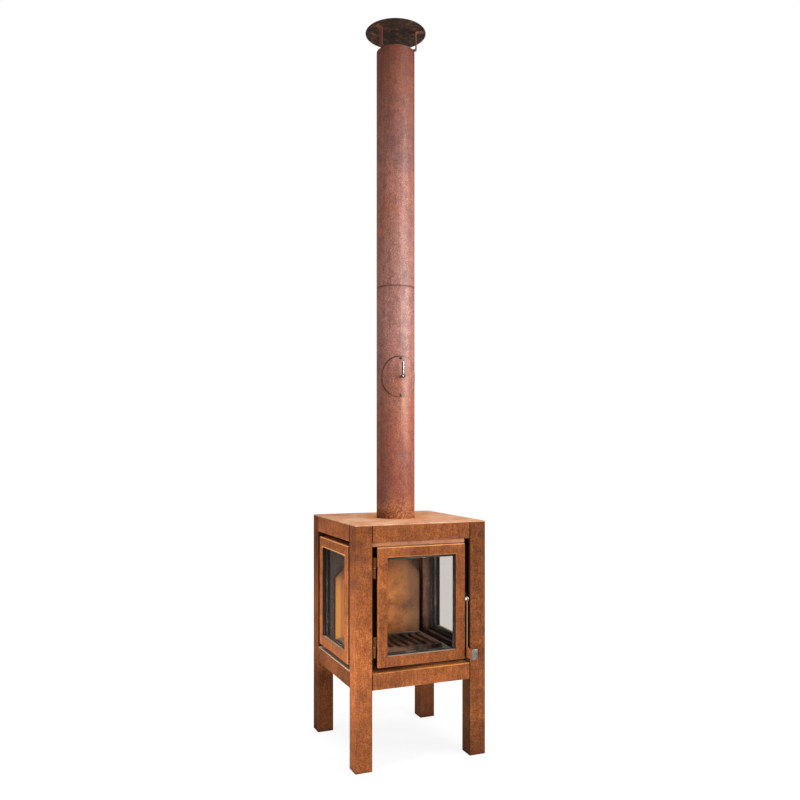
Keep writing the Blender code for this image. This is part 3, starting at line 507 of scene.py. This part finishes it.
def firebox_skin(name):
    """Firebox walls: grey-brown scale outside, near-black soot inside, with painted shade outside behind
    the panels and under the rails.
    """
    look = Look("firebox_" + name)
    shift = seed(name)
    clouds = look.noise(8.0, 6.0, 0.65, shift=shift, distortion=0.8)
    patches = look.noise(40.0, 5.0, 0.65, shift=shift)
    grain = look.noise(450.0, 3.0, 0.7, shift=shift)
    value = look.blend(clouds, 0.6, patches, 0.4)
    outside = look.ramp(
        value,
        (0.30, (0.260, 0.100, 0.050)),
        (0.50, (0.430, 0.180, 0.095)),
        (0.70, (0.560, 0.260, 0.145)),
    )
    inside = look.ramp(
        value,
        (0.30, (0.032, 0.015, 0.010)),
        (0.50, (0.076, 0.035, 0.022)),
        (0.70, (0.160, 0.080, 0.050)),
    )
    away = look.minus(look.y, AXIS_Y)
    depth = look.math("MAXIMUM", look.size(look.x), look.size(away))
    least = look.math("MINIMUM", look.size(look.x), look.size(away))
    rise = look.size(look.minus(look.z, PANEL_MID_Z))
    past_side = look.remap(least, NECK_ACROSS - 0.0008, NECK_ACROSS - 0.0002)
    past_end = look.remap(rise, NECK_RISE - 0.0010, NECK_RISE - 0.0002)
    past = look.math("MAXIMUM", past_side, past_end)
    # Painted shade on the firebox's outer walls behind the door and window frames, and painted shadow
    # under the rails
    shade_behind_panels = look.remap(look.z, PANEL_TOP - 0.001, PANEL_TOP - 0.008, 0.0, 0.8)
    outside = look.mix(shade_behind_panels, outside, (0.070, 0.036, 0.026))
    outside = look.shade(outside, look.remap(look.corner_shade(0.030), 0.15, 0.75, 0.12, 1.0))
    outer = look.remap(depth, WALL_OUT - 0.0040, WALL_OUT - 0.0015)
    colour = look.mix(look.times(outer, past), inside, outside)
    colour = look.shade(colour, look.swing(grain, 0.84, 1.14))
    look.bump((patches, 0.0005), (grain, 0.0002))
    return look.finish(colour, look.swing(clouds, 0.90, 0.70), specular=0.3)


def cap_look():
    """The rain cap: rust above, tar and soot below, with radial runs of red rust."""
    look = Look("rain_cap")
    shift = seed("rain_cap")
    clouds = look.noise(11.0, 6.0, 0.7, shift=shift, distortion=1.6)
    patches = look.noise(60.0, 5.0, 0.65, shift=shift)
    grain = look.noise(420.0, 3.0, 0.7, shift=shift)
    above = look.ramp(clouds, *RUST)
    tar = look.ramp(
        look.blend(clouds, 0.6, patches, 0.4),
        (0.36, (0.012, 0.008, 0.006)),
        (0.50, (0.036, 0.020, 0.012)),
        (0.58, (0.085, 0.034, 0.018)),
        (0.66, (0.300, 0.085, 0.034)),
    )
    _, _, up = look.split(look.facing)
    colour = look.mix(look.remap(up, 0.1, 0.6), tar, look.shade(above, 0.62))
    rim = look.times(look.band(up, 0.0, 0.3, 0.3), 0.8)
    colour = look.mix(rim, colour, (0.060, 0.030, 0.022))
    colour = look.shade(colour, look.swing(grain, 0.80, 1.2))
    look.bump((patches, 0.0007), (grain, 0.0002))
    return look.finish(colour, look.swing(patches, 0.85, 0.65), specular=0.2)


def stainless(name, along=(1, 1, 30), tarnish=0.0, pale=1.0):
    """Brushed stainless steel: fine lines along the piece, finger marks, and a little heat colour."""
    look = Look("stainless_" + name)
    lines = look.noise(900.0, 3.0, 0.7, stretch=tuple(1 / a for a in along))
    marks = look.noise(70.0, 4.0, 0.6)
    colour = look.ramp(
        marks,
        (0.30, (0.46, 0.45, 0.44)),
        (0.55, (0.62, 0.62, 0.61)),
        (0.80, (0.74, 0.74, 0.73)),
    )
    tarnished = look.times(look.remap(marks, 0.5, 0.62), tarnish)
    colour = look.mix(tarnished, colour, (0.34, 0.20, 0.12))
    colour = look.shade(colour, pale)
    look.bump((lines, 0.000006), (marks, 0.00002))
    roughness = look.plus(look.swing(marks, 0.24, 0.34), look.swing(lines, -0.06, 0.06))
    return look.finish(colour, roughness, metallic=1.0)


def brass_look():
    """Dull brass, bright where it rubs."""
    look = Look("brass_washer")
    marks = look.noise(300.0, 4.0, 0.65)
    colour = look.ramp(
        marks,
        (0.35, (0.30, 0.14, 0.05)),
        (0.55, (0.66, 0.37, 0.13)),
        (0.70, (0.80, 0.52, 0.22)),
    )
    look.bump((marks, 0.0001))
    return look.finish(colour, look.swing(marks, 0.55, 0.28), metallic=1.0)


def cast_iron(name, rust=0.6):
    """Cast iron that has been hot: sand-cast grain, dark oxide, and warm rust."""
    look = Look("cast_" + name)
    shift = seed(name)
    clouds = look.noise(9.0, 6.0, 0.65, shift=shift, distortion=0.8)
    casting = look.noise(260.0, 4.0, 0.7, shift=shift)
    pits = look.noise(90.0, 3.0, 0.6, shift=shift)
    colour = look.ramp(
        clouds,
        (0.32, (0.028, 0.022, 0.019)),
        (0.50, (0.075, 0.050, 0.037)),
        (0.70, (0.150, 0.090, 0.060)),
    )
    warm = look.remap(clouds, 0.40, 0.62)
    colour = look.mix(look.times(warm, rust), colour, (0.400, 0.135, 0.045))
    colour = look.shade(colour, look.swing(casting, 0.75, 1.2))
    look.bump((pits, 0.0008), (casting, 0.0004))
    return look.finish(colour, look.swing(casting, 0.85, 0.65), specular=0.4)


def fireback_look():
    """The rear plate of the fire: orange rust with soot that thickens upward and to the right; its left
    side is painted brighter orange as light, brightest in a band at its left edge."""
    look = Look("cast_fireback")
    clouds = look.noise(11.0, 6.0, 0.62, distortion=0.3)
    casting = look.noise(260.0, 4.0, 0.7)
    colour = look.ramp(
        look.blend(clouds, 0.7, casting, 0.3),
        (0.38, (0.220, 0.065, 0.022)),
        (0.50, (0.500, 0.165, 0.042)),
        (0.62, (0.740, 0.290, 0.075)),
    )
    height = look.remap(look.plus(look.z, look.swing(clouds, -0.04, 0.04)), 0.56, 0.70)
    side = look.remap(look.x, 0.02, 0.17)
    # Painted light: brighter orange toward the left, and a bright band at the left edge
    colour = look.mix(look.remap(look.x, -0.04, -0.15), colour, (0.760, 0.250, 0.060))
    colour = look.mix(look.remap(look.x, -0.160, -0.170), colour, (1.000, 0.420, 0.065))
    black = look.math("MAXIMUM", look.times(height, 0.75), look.times(side, 0.8))
    colour = look.mix(black, colour, (0.040, 0.028, 0.022))
    look.bump((casting, 0.0004), (clouds, 0.0008))
    return look.finish(colour, look.swing(casting, 0.85, 0.65), specular=0.3)


def slab_look():
    """Refractory slab: speckled tan, with soot and ash where the fire lies."""
    look = Look("refractory_slab")
    grit = look.noise(240.0, 4.0, 0.7)
    clouds = look.noise(12.0, 6.0, 0.65, distortion=1.0)
    colour = look.ramp(
        grit,
        (0.30, (0.22, 0.18, 0.14)),
        (0.50, (0.36, 0.31, 0.25)),
        (0.72, (0.52, 0.47, 0.40)),
    )
    away = look.minus(look.y, AXIS_Y)
    far = look.math("MAXIMUM", look.size(look.x), look.size(away))
    far = look.plus(far, look.swing(clouds, -0.05, 0.05))
    fire = look.remap(far, 0.19, 0.10, 0.30, 0.92)
    colour = look.mix(fire, colour, (0.030, 0.027, 0.025))
    ash = look.times(look.remap(look.noise(35.0, 5.0, 0.7), 0.54, 0.64), 0.45)
    colour = look.mix(ash, colour, (0.36, 0.34, 0.32))
    look.bump((clouds, 0.0015), (grit, 0.0006))
    return look.finish(colour, look.swing(grit, 0.98, 0.85), specular=0.2)


def rope_look():
    """Glass-fibre stove rope: grey-black yarn, with fluff and soot, and painted shade between its strands.
    """
    look = Look("stove_rope")
    yarn = look.noise(900.0, 3.0, 0.7)
    clouds = look.noise(20.0, 4.0, 0.6)
    colour = look.ramp(
        yarn,
        (0.30, (0.020, 0.019, 0.018)),
        (0.55, (0.075, 0.072, 0.068)),
        (0.75, (0.170, 0.160, 0.150)),
    )
    colour = look.shade(colour, look.swing(clouds, 0.7, 1.2))
    # Painted shade between the strands and against the door
    colour = look.shade(colour, look.remap(look.corner_shade(0.003), 0.3, 0.9, 0.35, 1.0))
    look.bump((yarn, 0.0003))
    look.shader.inputs["Sheen Weight"].default_value = 0.3
    return look.finish(colour, look.swing(yarn, 0.95, 0.85), specular=0.2)


def glass_look(name, tint):
    """Ceramic stove glass: clear, faintly smoky, and it lets lamps through."""
    look = Look("stove_glass_" + name)
    film = look.noise(22.0, 4.0, 0.6, shift=seed(name))
    look.put(look.shader.inputs["Base Color"], tint)
    look.put(look.shader.inputs["Roughness"], look.remap(film, 0.35, 0.7, 0.0, 0.035))
    look.shader.inputs["IOR"].default_value = GLASS_IOR
    look.shader.inputs["Transmission Weight"].default_value = 1.0
    clear = look.node("ShaderNodeBsdfTransparent", {"Color": (0.90, 0.91, 0.90)})
    lamp = look.node("ShaderNodeLightPath").outputs["Is Shadow Ray"]
    both = look.node("ShaderNodeMixShader", {0: lamp, 1: look.shader.outputs[0], 2: clear.outputs[0]})
    look.tree.links.new(both.outputs[0], look.tree.nodes["Material Output"].inputs["Surface"])
    return look.material


# ---------------------------------------------------------------- CAD nodes


def soften(node, limit=math.radians(40)):
    """Smooth shading across a CAD mesh's rounded edges; its flat faces stay flat."""
    mesh = frame["nodes"][node].data
    faces_at = {}
    for face in mesh.polygons:
        for vertex in face.vertices:
            key = tuple(round(v, 6) for v in mesh.vertices[vertex].co)
            faces_at.setdefault(key, []).append(face)
    least = math.cos(limit)
    normals = []
    for face in mesh.polygons:
        for vertex in face.vertices:
            key = tuple(round(v, 6) for v in mesh.vertices[vertex].co)
            near = [other for other in faces_at[key] if other.normal.dot(face.normal) > least]
            total = sum((other.normal * other.area for other in near), Vector())
            normals.append(total.normalized() if total.length > 0 else face.normal.copy())
    for face in mesh.polygons:
        face.use_smooth = True
    mesh.normals_split_custom_set(normals)


def paint(node, material):
    obj = frame["nodes"][node]
    obj.data.materials.clear()
    obj.data.materials.append(material)


# brightness and kind of each piece; the brightness is partly painted shade, set low on pieces that stand
# in shade
CORTEN = {
    "post_front_left": (0.93, "post"), "post_front_right": (0.60, "post"),
    "post_rear_left": (0.80, "post"), "post_rear_right": (0.80, "post"),
    "foot_plate_front_left": (0.6, ""), "foot_plate_front_right": (0.6, ""),
    "foot_plate_rear_left": (0.6, ""), "foot_plate_rear_right": (0.6, ""),
    "bottom_rail_front": (0.98, "rail"), "bottom_rail_rear": (0.9, "rail"),
    "bottom_rail_left": (0.46, "rail"), "bottom_rail_right": (0.9, "rail"),
    "top_rail_front": (0.84, "top rail"), "top_rail_rear": (0.9, "top rail"),
    "top_rail_left": (1.05, "top rail"), "top_rail_right": (0.9, "top rail"),
    "window_frame_left": (0.95, "left"), "window_frame_right": (0.9, "right"),
    "rear_panel": (0.9, ""), "door_frame": (0.93, "front"),
    "hinge_lower_post_half": (0.45, ""), "hinge_upper_post_half": (0.45, ""),
    "hinge_lower_door_half": (0.5, ""), "hinge_upper_door_half": (0.5, ""),
    "latch_lever": (0.85, ""),
}
# painted shade on each post's left face, as a share of its front's brightness
LEFT_FACE_SHADE = {
    "post_front_left": 0.86, "post_front_right": 0.32, "post_rear_left": 0.66, "post_rear_right": 0.70,
}
SPECKLED = ("post_front_right",)
# dark marks on a piece's front: x, z, radius, strength
MARKS = {
    "bottom_rail_front": (
        (0.0094, 0.306, 0.006, 0.6), (0.008, 0.324, 0.004, 0.6), (-0.187, 0.307, 0.004, 0.6),
    ),
    "post_front_left": (
        (-0.248, 0.806, 0.030, 0.40), (-0.240, 0.760, 0.034, 0.42), (-0.230, 0.712, 0.030, 0.28),
        (-0.250, 0.668, 0.026, 0.28), (-0.214, 0.640, 0.020, 0.20),
    ),
    "post_front_right": (
        (0.240, 0.838, 0.007, 0.7), (0.233, 0.829, 0.008, 0.7), (0.247, 0.826, 0.006, 0.7),
        (0.213, 0.781, 0.007, 0.7), (0.220, 0.771, 0.006, 0.7), (0.233, 0.764, 0.007, 0.7),
        (0.240, 0.752, 0.006, 0.6), (0.251, 0.785, 0.006, 0.6), (0.222, 0.712, 0.006, 0.5),
        (0.238, 0.655, 0.007, 0.5), (0.214, 0.640, 0.006, 0.5), (0.231, 0.238, 0.012, 0.5),
        (0.224, 0.215, 0.010, 0.5), (0.216, 0.120, 0.008, 0.4),
    ),
}
FIREBOX = ("firebox_front", "firebox_left", "firebox_right", "firebox_rear")
SOOTED = (
    "firebox_floor", "firebox_roof", "window_retainer_left", "window_retainer_right", "door_retainer",
    "flue_socket", "damper_disc",
)
FLUE = ("flue_pipe_lower", "flue_pipe_upper", "damper_cover", "cap_leg_1", "cap_leg_2", "cap_leg_3")
# how far each axis is drawn out in the brushed lines
STAINLESS = {
    "latch_pivot_stud": (30, 1, 1), "latch_dome_nut": (1, 1, 1), "latch_finger_tab": (1, 1, 30),
    "latch_catch_pin": (30, 1, 1), "damper_shaft": (1, 1, 30),
    "damper_cover_bolt_lower": (1, 1, 1), "damper_cover_bolt_upper": (1, 1, 1),
}
PALE = {"latch_finger_tab": 0.85, "damper_shaft": 0.8}
GLASS = {
    "window_glass_left": (0.970, 0.880, 0.810), "window_glass_right": (0.640, 0.585, 0.560),
    "door_glass": (0.930, 0.940, 0.930),
}


def paint_nodes():
    for node, (tone_and_shade, kind) in CORTEN.items():
        paint(node, corten(node, tone_and_shade, kind, MARKS.get(node, ())))
    paint("top_plate", top_plate_look())
    for node in FIREBOX:
        paint(node, firebox_skin(node))
    for node in SOOTED:
        paint(node, soot(node))
    shared = flue("pipes")
    for node in FLUE:
        paint(node, shared)
    for node, along in STAINLESS.items():
        paint(node, stainless(node, along, pale=PALE.get(node, 1.0)))
    for node in ("hinge_lower_washer", "hinge_upper_washer"):
        paint(node, brass_look())
    for node, tint in GLASS.items():
        paint(node, glass_look(node, tint))
    paint("hearth_slab", slab_look())
    paint("fireback", fireback_look())
    paint("fire_grate", cast_iron("fire_grate", 0.35))
    paint("cap_disc", cap_look())
    for node in frame["nodes"]:
        soften(node)


# ---------------------------------------------------------------- small pieces


def facing(point, direction):
    """The matrix that takes local Z to a direction and the origin to a point."""
    turn = Vector(direction).to_track_quat("Z", "Y").to_matrix().to_4x4()
    return Matrix.Translation(point) @ turn


def joined(bm, loops, closed=False):
    """Quads between neighbouring loops of vertices, with the ends filled unless the loops close up."""
    pairs = list(zip(loops, loops[1:]))
    if closed:
        pairs.append((loops[-1], loops[0]))
    else:
        bm.faces.new(list(reversed(loops[0])))
        bm.faces.new(loops[-1])
    for a, b in pairs:
        for i in range(len(a)):
            j = (i + 1) % len(a)
            bm.faces.new((a[i], a[j], b[j], b[i]))


def lathe(bm, matrix, rings, sides=24):
    """A turned solid about local Z. A ring is radius and height, or half width, height and flats."""
    loops = []
    for radius, height, *flats in rings:
        loop = []
        for i in range(sides):
            turn = math.tau * i / sides
            reach = radius
            if flats:
                sector = math.tau / flats[0]
                reach = radius / math.cos(turn % sector - sector / 2)
            point = Vector((reach * math.cos(turn), reach * math.sin(turn), height))
            loop.append(bm.verts.new(matrix @ point))
        loops.append(loop)
    joined(bm, loops)


def bead(bm, start, end, radius, step=0.0012, pitch=0.0038, sides=10):
    """A weld bead: a rippled run of metal from start to end, rounded off at its ends."""
    start, end = Vector(start), Vector(end)
    run = end - start
    matrix = facing(start, run)
    count = max(4, round(run.length / step))
    rings = []
    for i in range(count + 1):
        along = run.length * i / count
        from_end = min(along, run.length - along)
        taper = math.sqrt(min(1.0, (from_end + 0.0002) / (2 * radius)))
        ripple = 0.80 + 0.20 * abs(math.cos(math.pi * along / pitch))
        rings.append((radius * taper * ripple, along))
    lathe(bm, matrix, rings, sides)


def show(name, bm, body, material, sharp=math.radians(35)):
    """Makes a piece of the object from a bmesh; it moves with a CAD body."""
    mesh = bpy.data.meshes.new(name)
    bm.to_mesh(mesh)
    bm.free()
    mesh.materials.append(material)
    for face in mesh.polygons:
        face.use_smooth = True
    mesh.set_sharp_from_angle(angle=sharp)
    obj = bpy.data.objects.new(name, mesh)
    bpy.context.scene.collection.objects.link(obj)
    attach(obj, body)
    return obj


ROPE_INSET = 0.0075              # door's edge to the middle of its rope
ROPE_Y = AXIS_Y - HALF + 0.0435
ROPE_RADIUS = 0.0052
ROPE_BEND = 0.006                # radius at the corners of its path
ROPE_STEP = 0.0017
ROPE_SIDES = 24
ROPE_TURNS = 30                  # turns of each strand round the rope, over its whole length
ROPE_STRANDS = 3                 # each way round
ROPE_GROOVE = 0.17               # depth of the grooves between them, of the radius
BEND_STEPS = 8


def rope_path():
    """Points (x, z) and outward directions round the door, evenly spaced."""
    flat_x = PANEL_ACROSS - ROPE_INSET - ROPE_BEND
    flat_z = PANEL_RISE - ROPE_INSET - ROPE_BEND
    points = []
    for start, sign_x, sign_z in ((0, 1, 1), (90, -1, 1), (180, -1, -1), (270, 1, -1)):
        cx, cz = sign_x * flat_x, sign_z * flat_z
        for k in range(BEND_STEPS + 1):
            turn = math.radians(start + 90 * k / BEND_STEPS)
            points.append(Vector((cx + ROPE_BEND * math.cos(turn), cz + ROPE_BEND * math.sin(turn))))
    points.append(points[0].copy())
    lengths = [0.0]
    for a, b in zip(points, points[1:]):
        lengths.append(lengths[-1] + (b - a).length)
    count = round(lengths[-1] / ROPE_STEP)
    path, k = [], 0
    for i in range(count):
        along = lengths[-1] * i / count
        while lengths[k + 1] < along:
            k += 1
        share = (along - lengths[k]) / (lengths[k + 1] - lengths[k])
        path.append((points[k].lerp(points[k + 1], share), i / count))
    placed = []
    for i, (point, share) in enumerate(path):
        ahead = path[(i + 1) % count][0] - path[i - 1][0]
        out = Vector((ahead.y, -ahead.x)).normalized()
        placed.append((point.x, point.y + PANEL_MID_Z, out, share))
    return placed


def make_rope():
    """The braided rope behind the door's edge."""
    bm = bmesh.new()
    loops = []
    for x, z, out, share in rope_path():
        twist = math.tau * ROPE_TURNS * share
        loop = []
        for k in range(ROPE_SIDES):
            turn = math.tau * k / ROPE_SIDES
            crown = max(abs(math.sin(ROPE_STRANDS * (turn + way * twist))) for way in (-1, 1))
            radius = ROPE_RADIUS * (1 - ROPE_GROOVE + ROPE_GROOVE * crown)
            across, back = radius * math.cos(turn), radius * math.sin(turn)
            loop.append(bm.verts.new((x + out.x * across, ROPE_Y + back, z + out.y * across)))
        loops.append(loop)
    joined(bm, loops, closed=True)
    rope = show("door_rope", bm, "door", rope_look(), math.radians(80))
    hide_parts("door_seal")


# Turned outlines of the small pieces
COVER_BOLT = (
    (0.0030, -0.0120), (0.0030, 0.0001), (0.0052, 0.0001), (0.0055, 0.0005), (0.0055, 0.0013),
    (0.0049, 0.0027), (0.0036, 0.0037), (0.0022, 0.0041), (0.0018, 0.0041, 6), (0.0017, 0.0020, 6),
)
HANDLE_PLUG = (
    (0.0053, -0.0060), (0.0072, -0.0056), (0.0075, -0.0050), (0.0075, -0.0006), (0.0070, 0.0),
    (0.0042, 0.0003), (0.0030, -0.0006), (0.0010, -0.0008),
)
ACORN_NUT = (
    (0.0043, 0.0), (0.0076, 0.0), (0.0082, 0.0005), (0.0082, 0.0011), (0.0078, 0.0014),
    (0.0066, 0.0015, 6), (0.0066, 0.0036, 6), (0.0066, 0.0039), (0.0063, 0.0046), (0.0054, 0.0060),
    (0.0038, 0.0071), (0.0019, 0.0076),
)
CAP_RIVET = ((0.0036, -0.0005), (0.0037, 0.0003), (0.0033, 0.0012), (0.0021, 0.0019), (0.0008, 0.0021))
NUT_SEAT = (0.1858, -0.23335, 0.588)     # outer face of the latch lever, on its pivot


def make_cover_bolts():
    """Domed hexagon-socket bolts that hold the damper's cover."""
    centre = Vector((0, AXIS_Y, DAMPER_Z))
    look = stainless("cover_bolts", tarnish=0.35, pale=0.26)
    for level, sign in (("lower", -1), ("upper", 1)):
        bm = bmesh.new()
        matrix = facing(centre + UP * (sign * COVER_BOLT_RISE) + DAMPER_OUT * COVER_FACE, DAMPER_OUT)
        lathe(bm, matrix, COVER_BOLT)
        bolt = show(f"cover_bolt_{level}", bm, "stove", look)
        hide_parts(f"damper_cover_bolt_{level}")


def make_handle_plug():
    """The dark cap round the front end of the damper's shaft, below its handle."""
    bm = bmesh.new()
    matrix = facing(Vector((0, AXIS_Y, DAMPER_Z)) + DAMPER_OUT * SHAFT_FRONT, DAMPER_OUT)
    lathe(bm, matrix, HANDLE_PLUG)
    show("handle_plug", bm, "damper", soot("handle_plug", 0.1))


def make_dome_nut():
    """An acorn nut on the latch's stud."""
    bm = bmesh.new()
    lathe(bm, facing(NUT_SEAT, (1, 0, 0)), ACORN_NUT, 36)
    nut = show("acorn_nut", bm, "door", stainless("acorn_nut"))
    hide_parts("latch_dome_nut")


HINGE_WELD_Y = -0.2341
HINGE_WELDS = (("stove", -POST_INNER + 0.0001, -1), ("door", -PANEL_ACROSS, 1))    # body, x, down or up
HINGE_JOINTS_Z = (PANEL_MID_Z - 0.142, PANEL_MID_Z + 0.142)
HINGE_WELD_SPAN = (0.0015, 0.0345)       # from the joint
HINGE_BEAD = 0.0014              # radii of the beads
RAIL_BEAD = 0.0022
SEAM_BEAD = 0.0014
TACK_BEAD = 0.0016
RAIL_WELD_Z = 0.2879
RAIL_WELD_HALF = 0.027
FRONT_RAIL_ENDS = ((-0.1947, 0.1947), (-0.2068, 0.2481))    # x and y of the front and rear rails' ends
SIDE_RAIL_ENDS = ((-0.2275, 0.2275), (-0.1740, 0.2153))
SEAM_TURN = 0.2                  # radians from the rear
SEAM_SPANS = ((0.884, PIPE_JOINT_Z - 0.004), (PIPE_JOINT_Z + 0.002, 2.713))
TACK_HALF = 0.006
RETAINER_BACK = 0.0239           # front plane of a panel to its glass retainer's back
TACK_ACROSS = OPENING_ACROSS + REBATE
TACK_RISE = OPENING_RISE + REBATE
# across, rise, and whether the tack runs upright
RETAINER_TACKS = [(a, z, True) for a in (-TACK_ACROSS, TACK_ACROSS) for z in (0.14, 0.0, -0.14)]
RETAINER_TACKS += [(a, z, False) for z in (TACK_RISE, -TACK_RISE) for a in (-0.10, 0.0, 0.10)]


def make_hinge_welds(look):
    for body, x, sign in HINGE_WELDS:
        bm = bmesh.new()
        for z in HINGE_JOINTS_Z:
            low, high = sorted(z + sign * reach for reach in HINGE_WELD_SPAN)
            bead(bm, (x, HINGE_WELD_Y, low), (x, HINGE_WELD_Y, high), HINGE_BEAD)
        show(f"hinge_welds_{body}", bm, body, look)


def make_rail_welds(look):
    """Beads under both ends of each bottom rail."""
    bm = bmesh.new()
    z, half = RAIL_WELD_Z, RAIL_WELD_HALF
    for x, y in product(*FRONT_RAIL_ENDS):
        bead(bm, (x, y - half, z), (x, y + half, z), RAIL_BEAD)
    for x, y in product(*SIDE_RAIL_ENDS):
        bead(bm, (x - half, y, z), (x + half, y, z), RAIL_BEAD)
    show("rail_welds", bm, "stove", look)


def make_flue_seam():
    """The long weld down the back of both pipes."""
    bm = bmesh.new()
    seam = Vector((math.sin(SEAM_TURN), math.cos(SEAM_TURN), 0)) * (PIPE_RADIUS - 0.0004)
    foot = Vector((seam.x, seam.y + AXIS_Y, 0))
    for low, high in SEAM_SPANS:
        bead(bm, foot + UP * low, foot + UP * high, SEAM_BEAD, step=0.0019, pitch=0.0057, sides=8)
    show("flue_seam_welds", bm, "stove", flue("seam"))


def make_retainer_welds():
    """Short tacks that hold the frames behind the glass."""
    black = soot("retainer_welds", 0.35, 1.3)
    for body, side in (("door", "front"), ("stove", "left"), ("stove", "right")):
        bm = bmesh.new()
        for across, rise, upright in RETAINER_TACKS:
            ends = []
            for offset in (-TACK_HALF, TACK_HALF):
                a, z = (across, rise + offset) if upright else (across + offset, rise)
                ends.append(on_panel(side, a, RETAINER_BACK, PANEL_MID_Z + z))
            bead(bm, ends[0], ends[1], TACK_BEAD)
        show(f"retainer_welds_{side}", bm, body, black)


def on_panel(side, across, depth, z):
    """A point on the panel at one side of the box, from its place across the panel and its depth."""
    if side == "front":
        return Vector((across, AXIS_Y - HALF + depth, z))
    away = HALF - depth
    return Vector((-away if side == "left" else away, AXIS_Y + across, z))


RIVET_TURNS = (-66, 54, 174)     # degrees from the front
RIVET_Z = 2.7868
RIVET_REACH = 0.0985


def make_cap_rivets():
    """Rivet heads under the cap, one through each leg's tab."""
    bm = bmesh.new()
    for turn in RIVET_TURNS:
        out = Vector((math.sin(math.radians(turn)), -math.cos(math.radians(turn)), 0))
        point = Vector((0, AXIS_Y, RIVET_Z)) + out * RIVET_REACH
        lathe(bm, facing(point, (0, 0, -1)), CAP_RIVET, 16)
    show("cap_rivets", bm, "stove", soot("cap_rivets", 0.8, 1.5))


def make_details():
    make_rope()
    make_cover_bolts()
    make_handle_plug()
    make_dome_nut()
    rusted = corten("welds", 0.75)
    make_hinge_welds(rusted)
    make_rail_welds(rusted)
    make_flue_seam()
    make_retainer_welds()
    make_cap_rivets()


# ---------------------------------------------------------------- stage


FLOOR_COLOUR = (0.14, 0.14, 0.14)
FLOOR_HALF = 30.0                # half its width
FLOOR_GLOW = 0.87                # keeps the floor as pale as the background
FLOOR_GLOW_MIRRORED = 0.10       # and out of reflections on glass and steel


def make_stage():
    """A white floor that glows as much as the surround, so that no horizon shows."""
    mesh = bpy.data.meshes.new("floor")
    corners = [(x * FLOOR_HALF, y * FLOOR_HALF, 0) for x, y in ((-1, -1), (1, -1), (1, 1), (-1, 1))]
    mesh.from_pydata(corners, [], [(0, 1, 2, 3)])
    floor = bpy.data.objects.new("floor", mesh)
    bpy.context.scene.collection.objects.link(floor)
    look = Look("studio_floor")
    mesh.materials.append(look.finish(FLOOR_COLOUR, 0.9, specular=0.0))
    look.shader.inputs["Emission Color"].default_value = (1.0, 1.0, 1.0, 1.0)
    ray = look.node("ShaderNodeLightPath").outputs
    mirrored = look.times(ray["Is Glossy Ray"], ray["Is Reflection Ray"])
    glow = look.remap(mirrored, 0.0, 1.0, FLOOR_GLOW, FLOOR_GLOW_MIRRORED)
    look.put(look.shader.inputs["Emission Strength"], glow)


def make_world(ambient, seen):
    """An even white surround, seen brighter than the light that it gives."""
    world = bpy.data.worlds.new("studio")
    bpy.context.scene.world = world
    world.use_nodes = True
    nodes, links = world.node_tree.nodes, world.node_tree.links
    background = nodes["Background"]
    background.inputs["Color"].default_value = (1.0, 1.0, 1.0, 1.0)
    ray = nodes.new("ShaderNodeLightPath")
    strength = nodes.new("ShaderNodeMapRange")
    strength.inputs["To Min"].default_value = ambient
    strength.inputs["To Max"].default_value = seen
    links.new(ray.outputs["Is Camera Ray"], strength.inputs["Value"])
    links.new(strength.outputs["Result"], background.inputs["Strength"])


def make_lamp(name, place, aim, size, watts, spread):
    data = bpy.data.lights.new(name, "AREA")
    data.shape = "RECTANGLE"
    data.size, data.size_y = size
    data.energy = watts
    data.spread = math.radians(spread)
    lamp = bpy.data.objects.new(name, data)
    bpy.context.scene.collection.objects.link(lamp)
    lamp.location = place
    lamp.rotation_euler = (Vector(aim) - Vector(place)).to_track_quat("-Z", "Y").to_euler()
    lamp.visible_camera = False


def make_sun(strength, angle, tilt):
    """A broad, soft light from overhead, which keeps the floor evenly pale."""
    data = bpy.data.lights.new("overhead", "SUN")
    data.energy = strength
    data.angle = math.radians(angle)
    sun = bpy.data.objects.new("overhead", data)
    bpy.context.scene.collection.objects.link(sun)
    sun.rotation_euler = (math.radians(tilt), 0.0, 0.0)


CAMERA_PLACE = (-1.198, -2.910, 1.158)
CAMERA_TURN = -22.55             # degrees; the camera looks level
CAMERA_LENS = 36.0
CAMERA_SHIFT = 0.05875


def make_camera():
    data = bpy.data.cameras.new("camera")
    data.lens = CAMERA_LENS
    data.shift_y = CAMERA_SHIFT
    camera = bpy.data.objects.new("camera", data)
    bpy.context.scene.collection.objects.link(camera)
    camera.location = CAMERA_PLACE
    camera.rotation_euler = (math.radians(90), 0.0, math.radians(CAMERA_TURN))
    bpy.context.scene.camera = camera


# place, aim, size, watts, and spread in degrees
LAMPS = {
    "key": ((2.0, -4.0, 2.2), (0, 0, 1.3), (1.6, 2.6), 100, 180),
    "rim": ((2.6, -2.2, 1.7), (0, 0, 1.6), (0.4, 2.6), 44, 180),
    "fill": ((-2.6, -0.9, 0.35), (-0.26, -0.1, 0.35), (0.8, 0.4), 4.6, 30),
}

make_camera()
make_stage()
make_world(ambient=0.13, seen=1.0)
make_sun(strength=3.0, angle=60, tilt=6)
for lamp_name, settings in LAMPS.items():
    make_lamp(lamp_name, *settings)
bpy.context.scene.view_settings.view_transform = "Standard"
paint_nodes()
make_details()
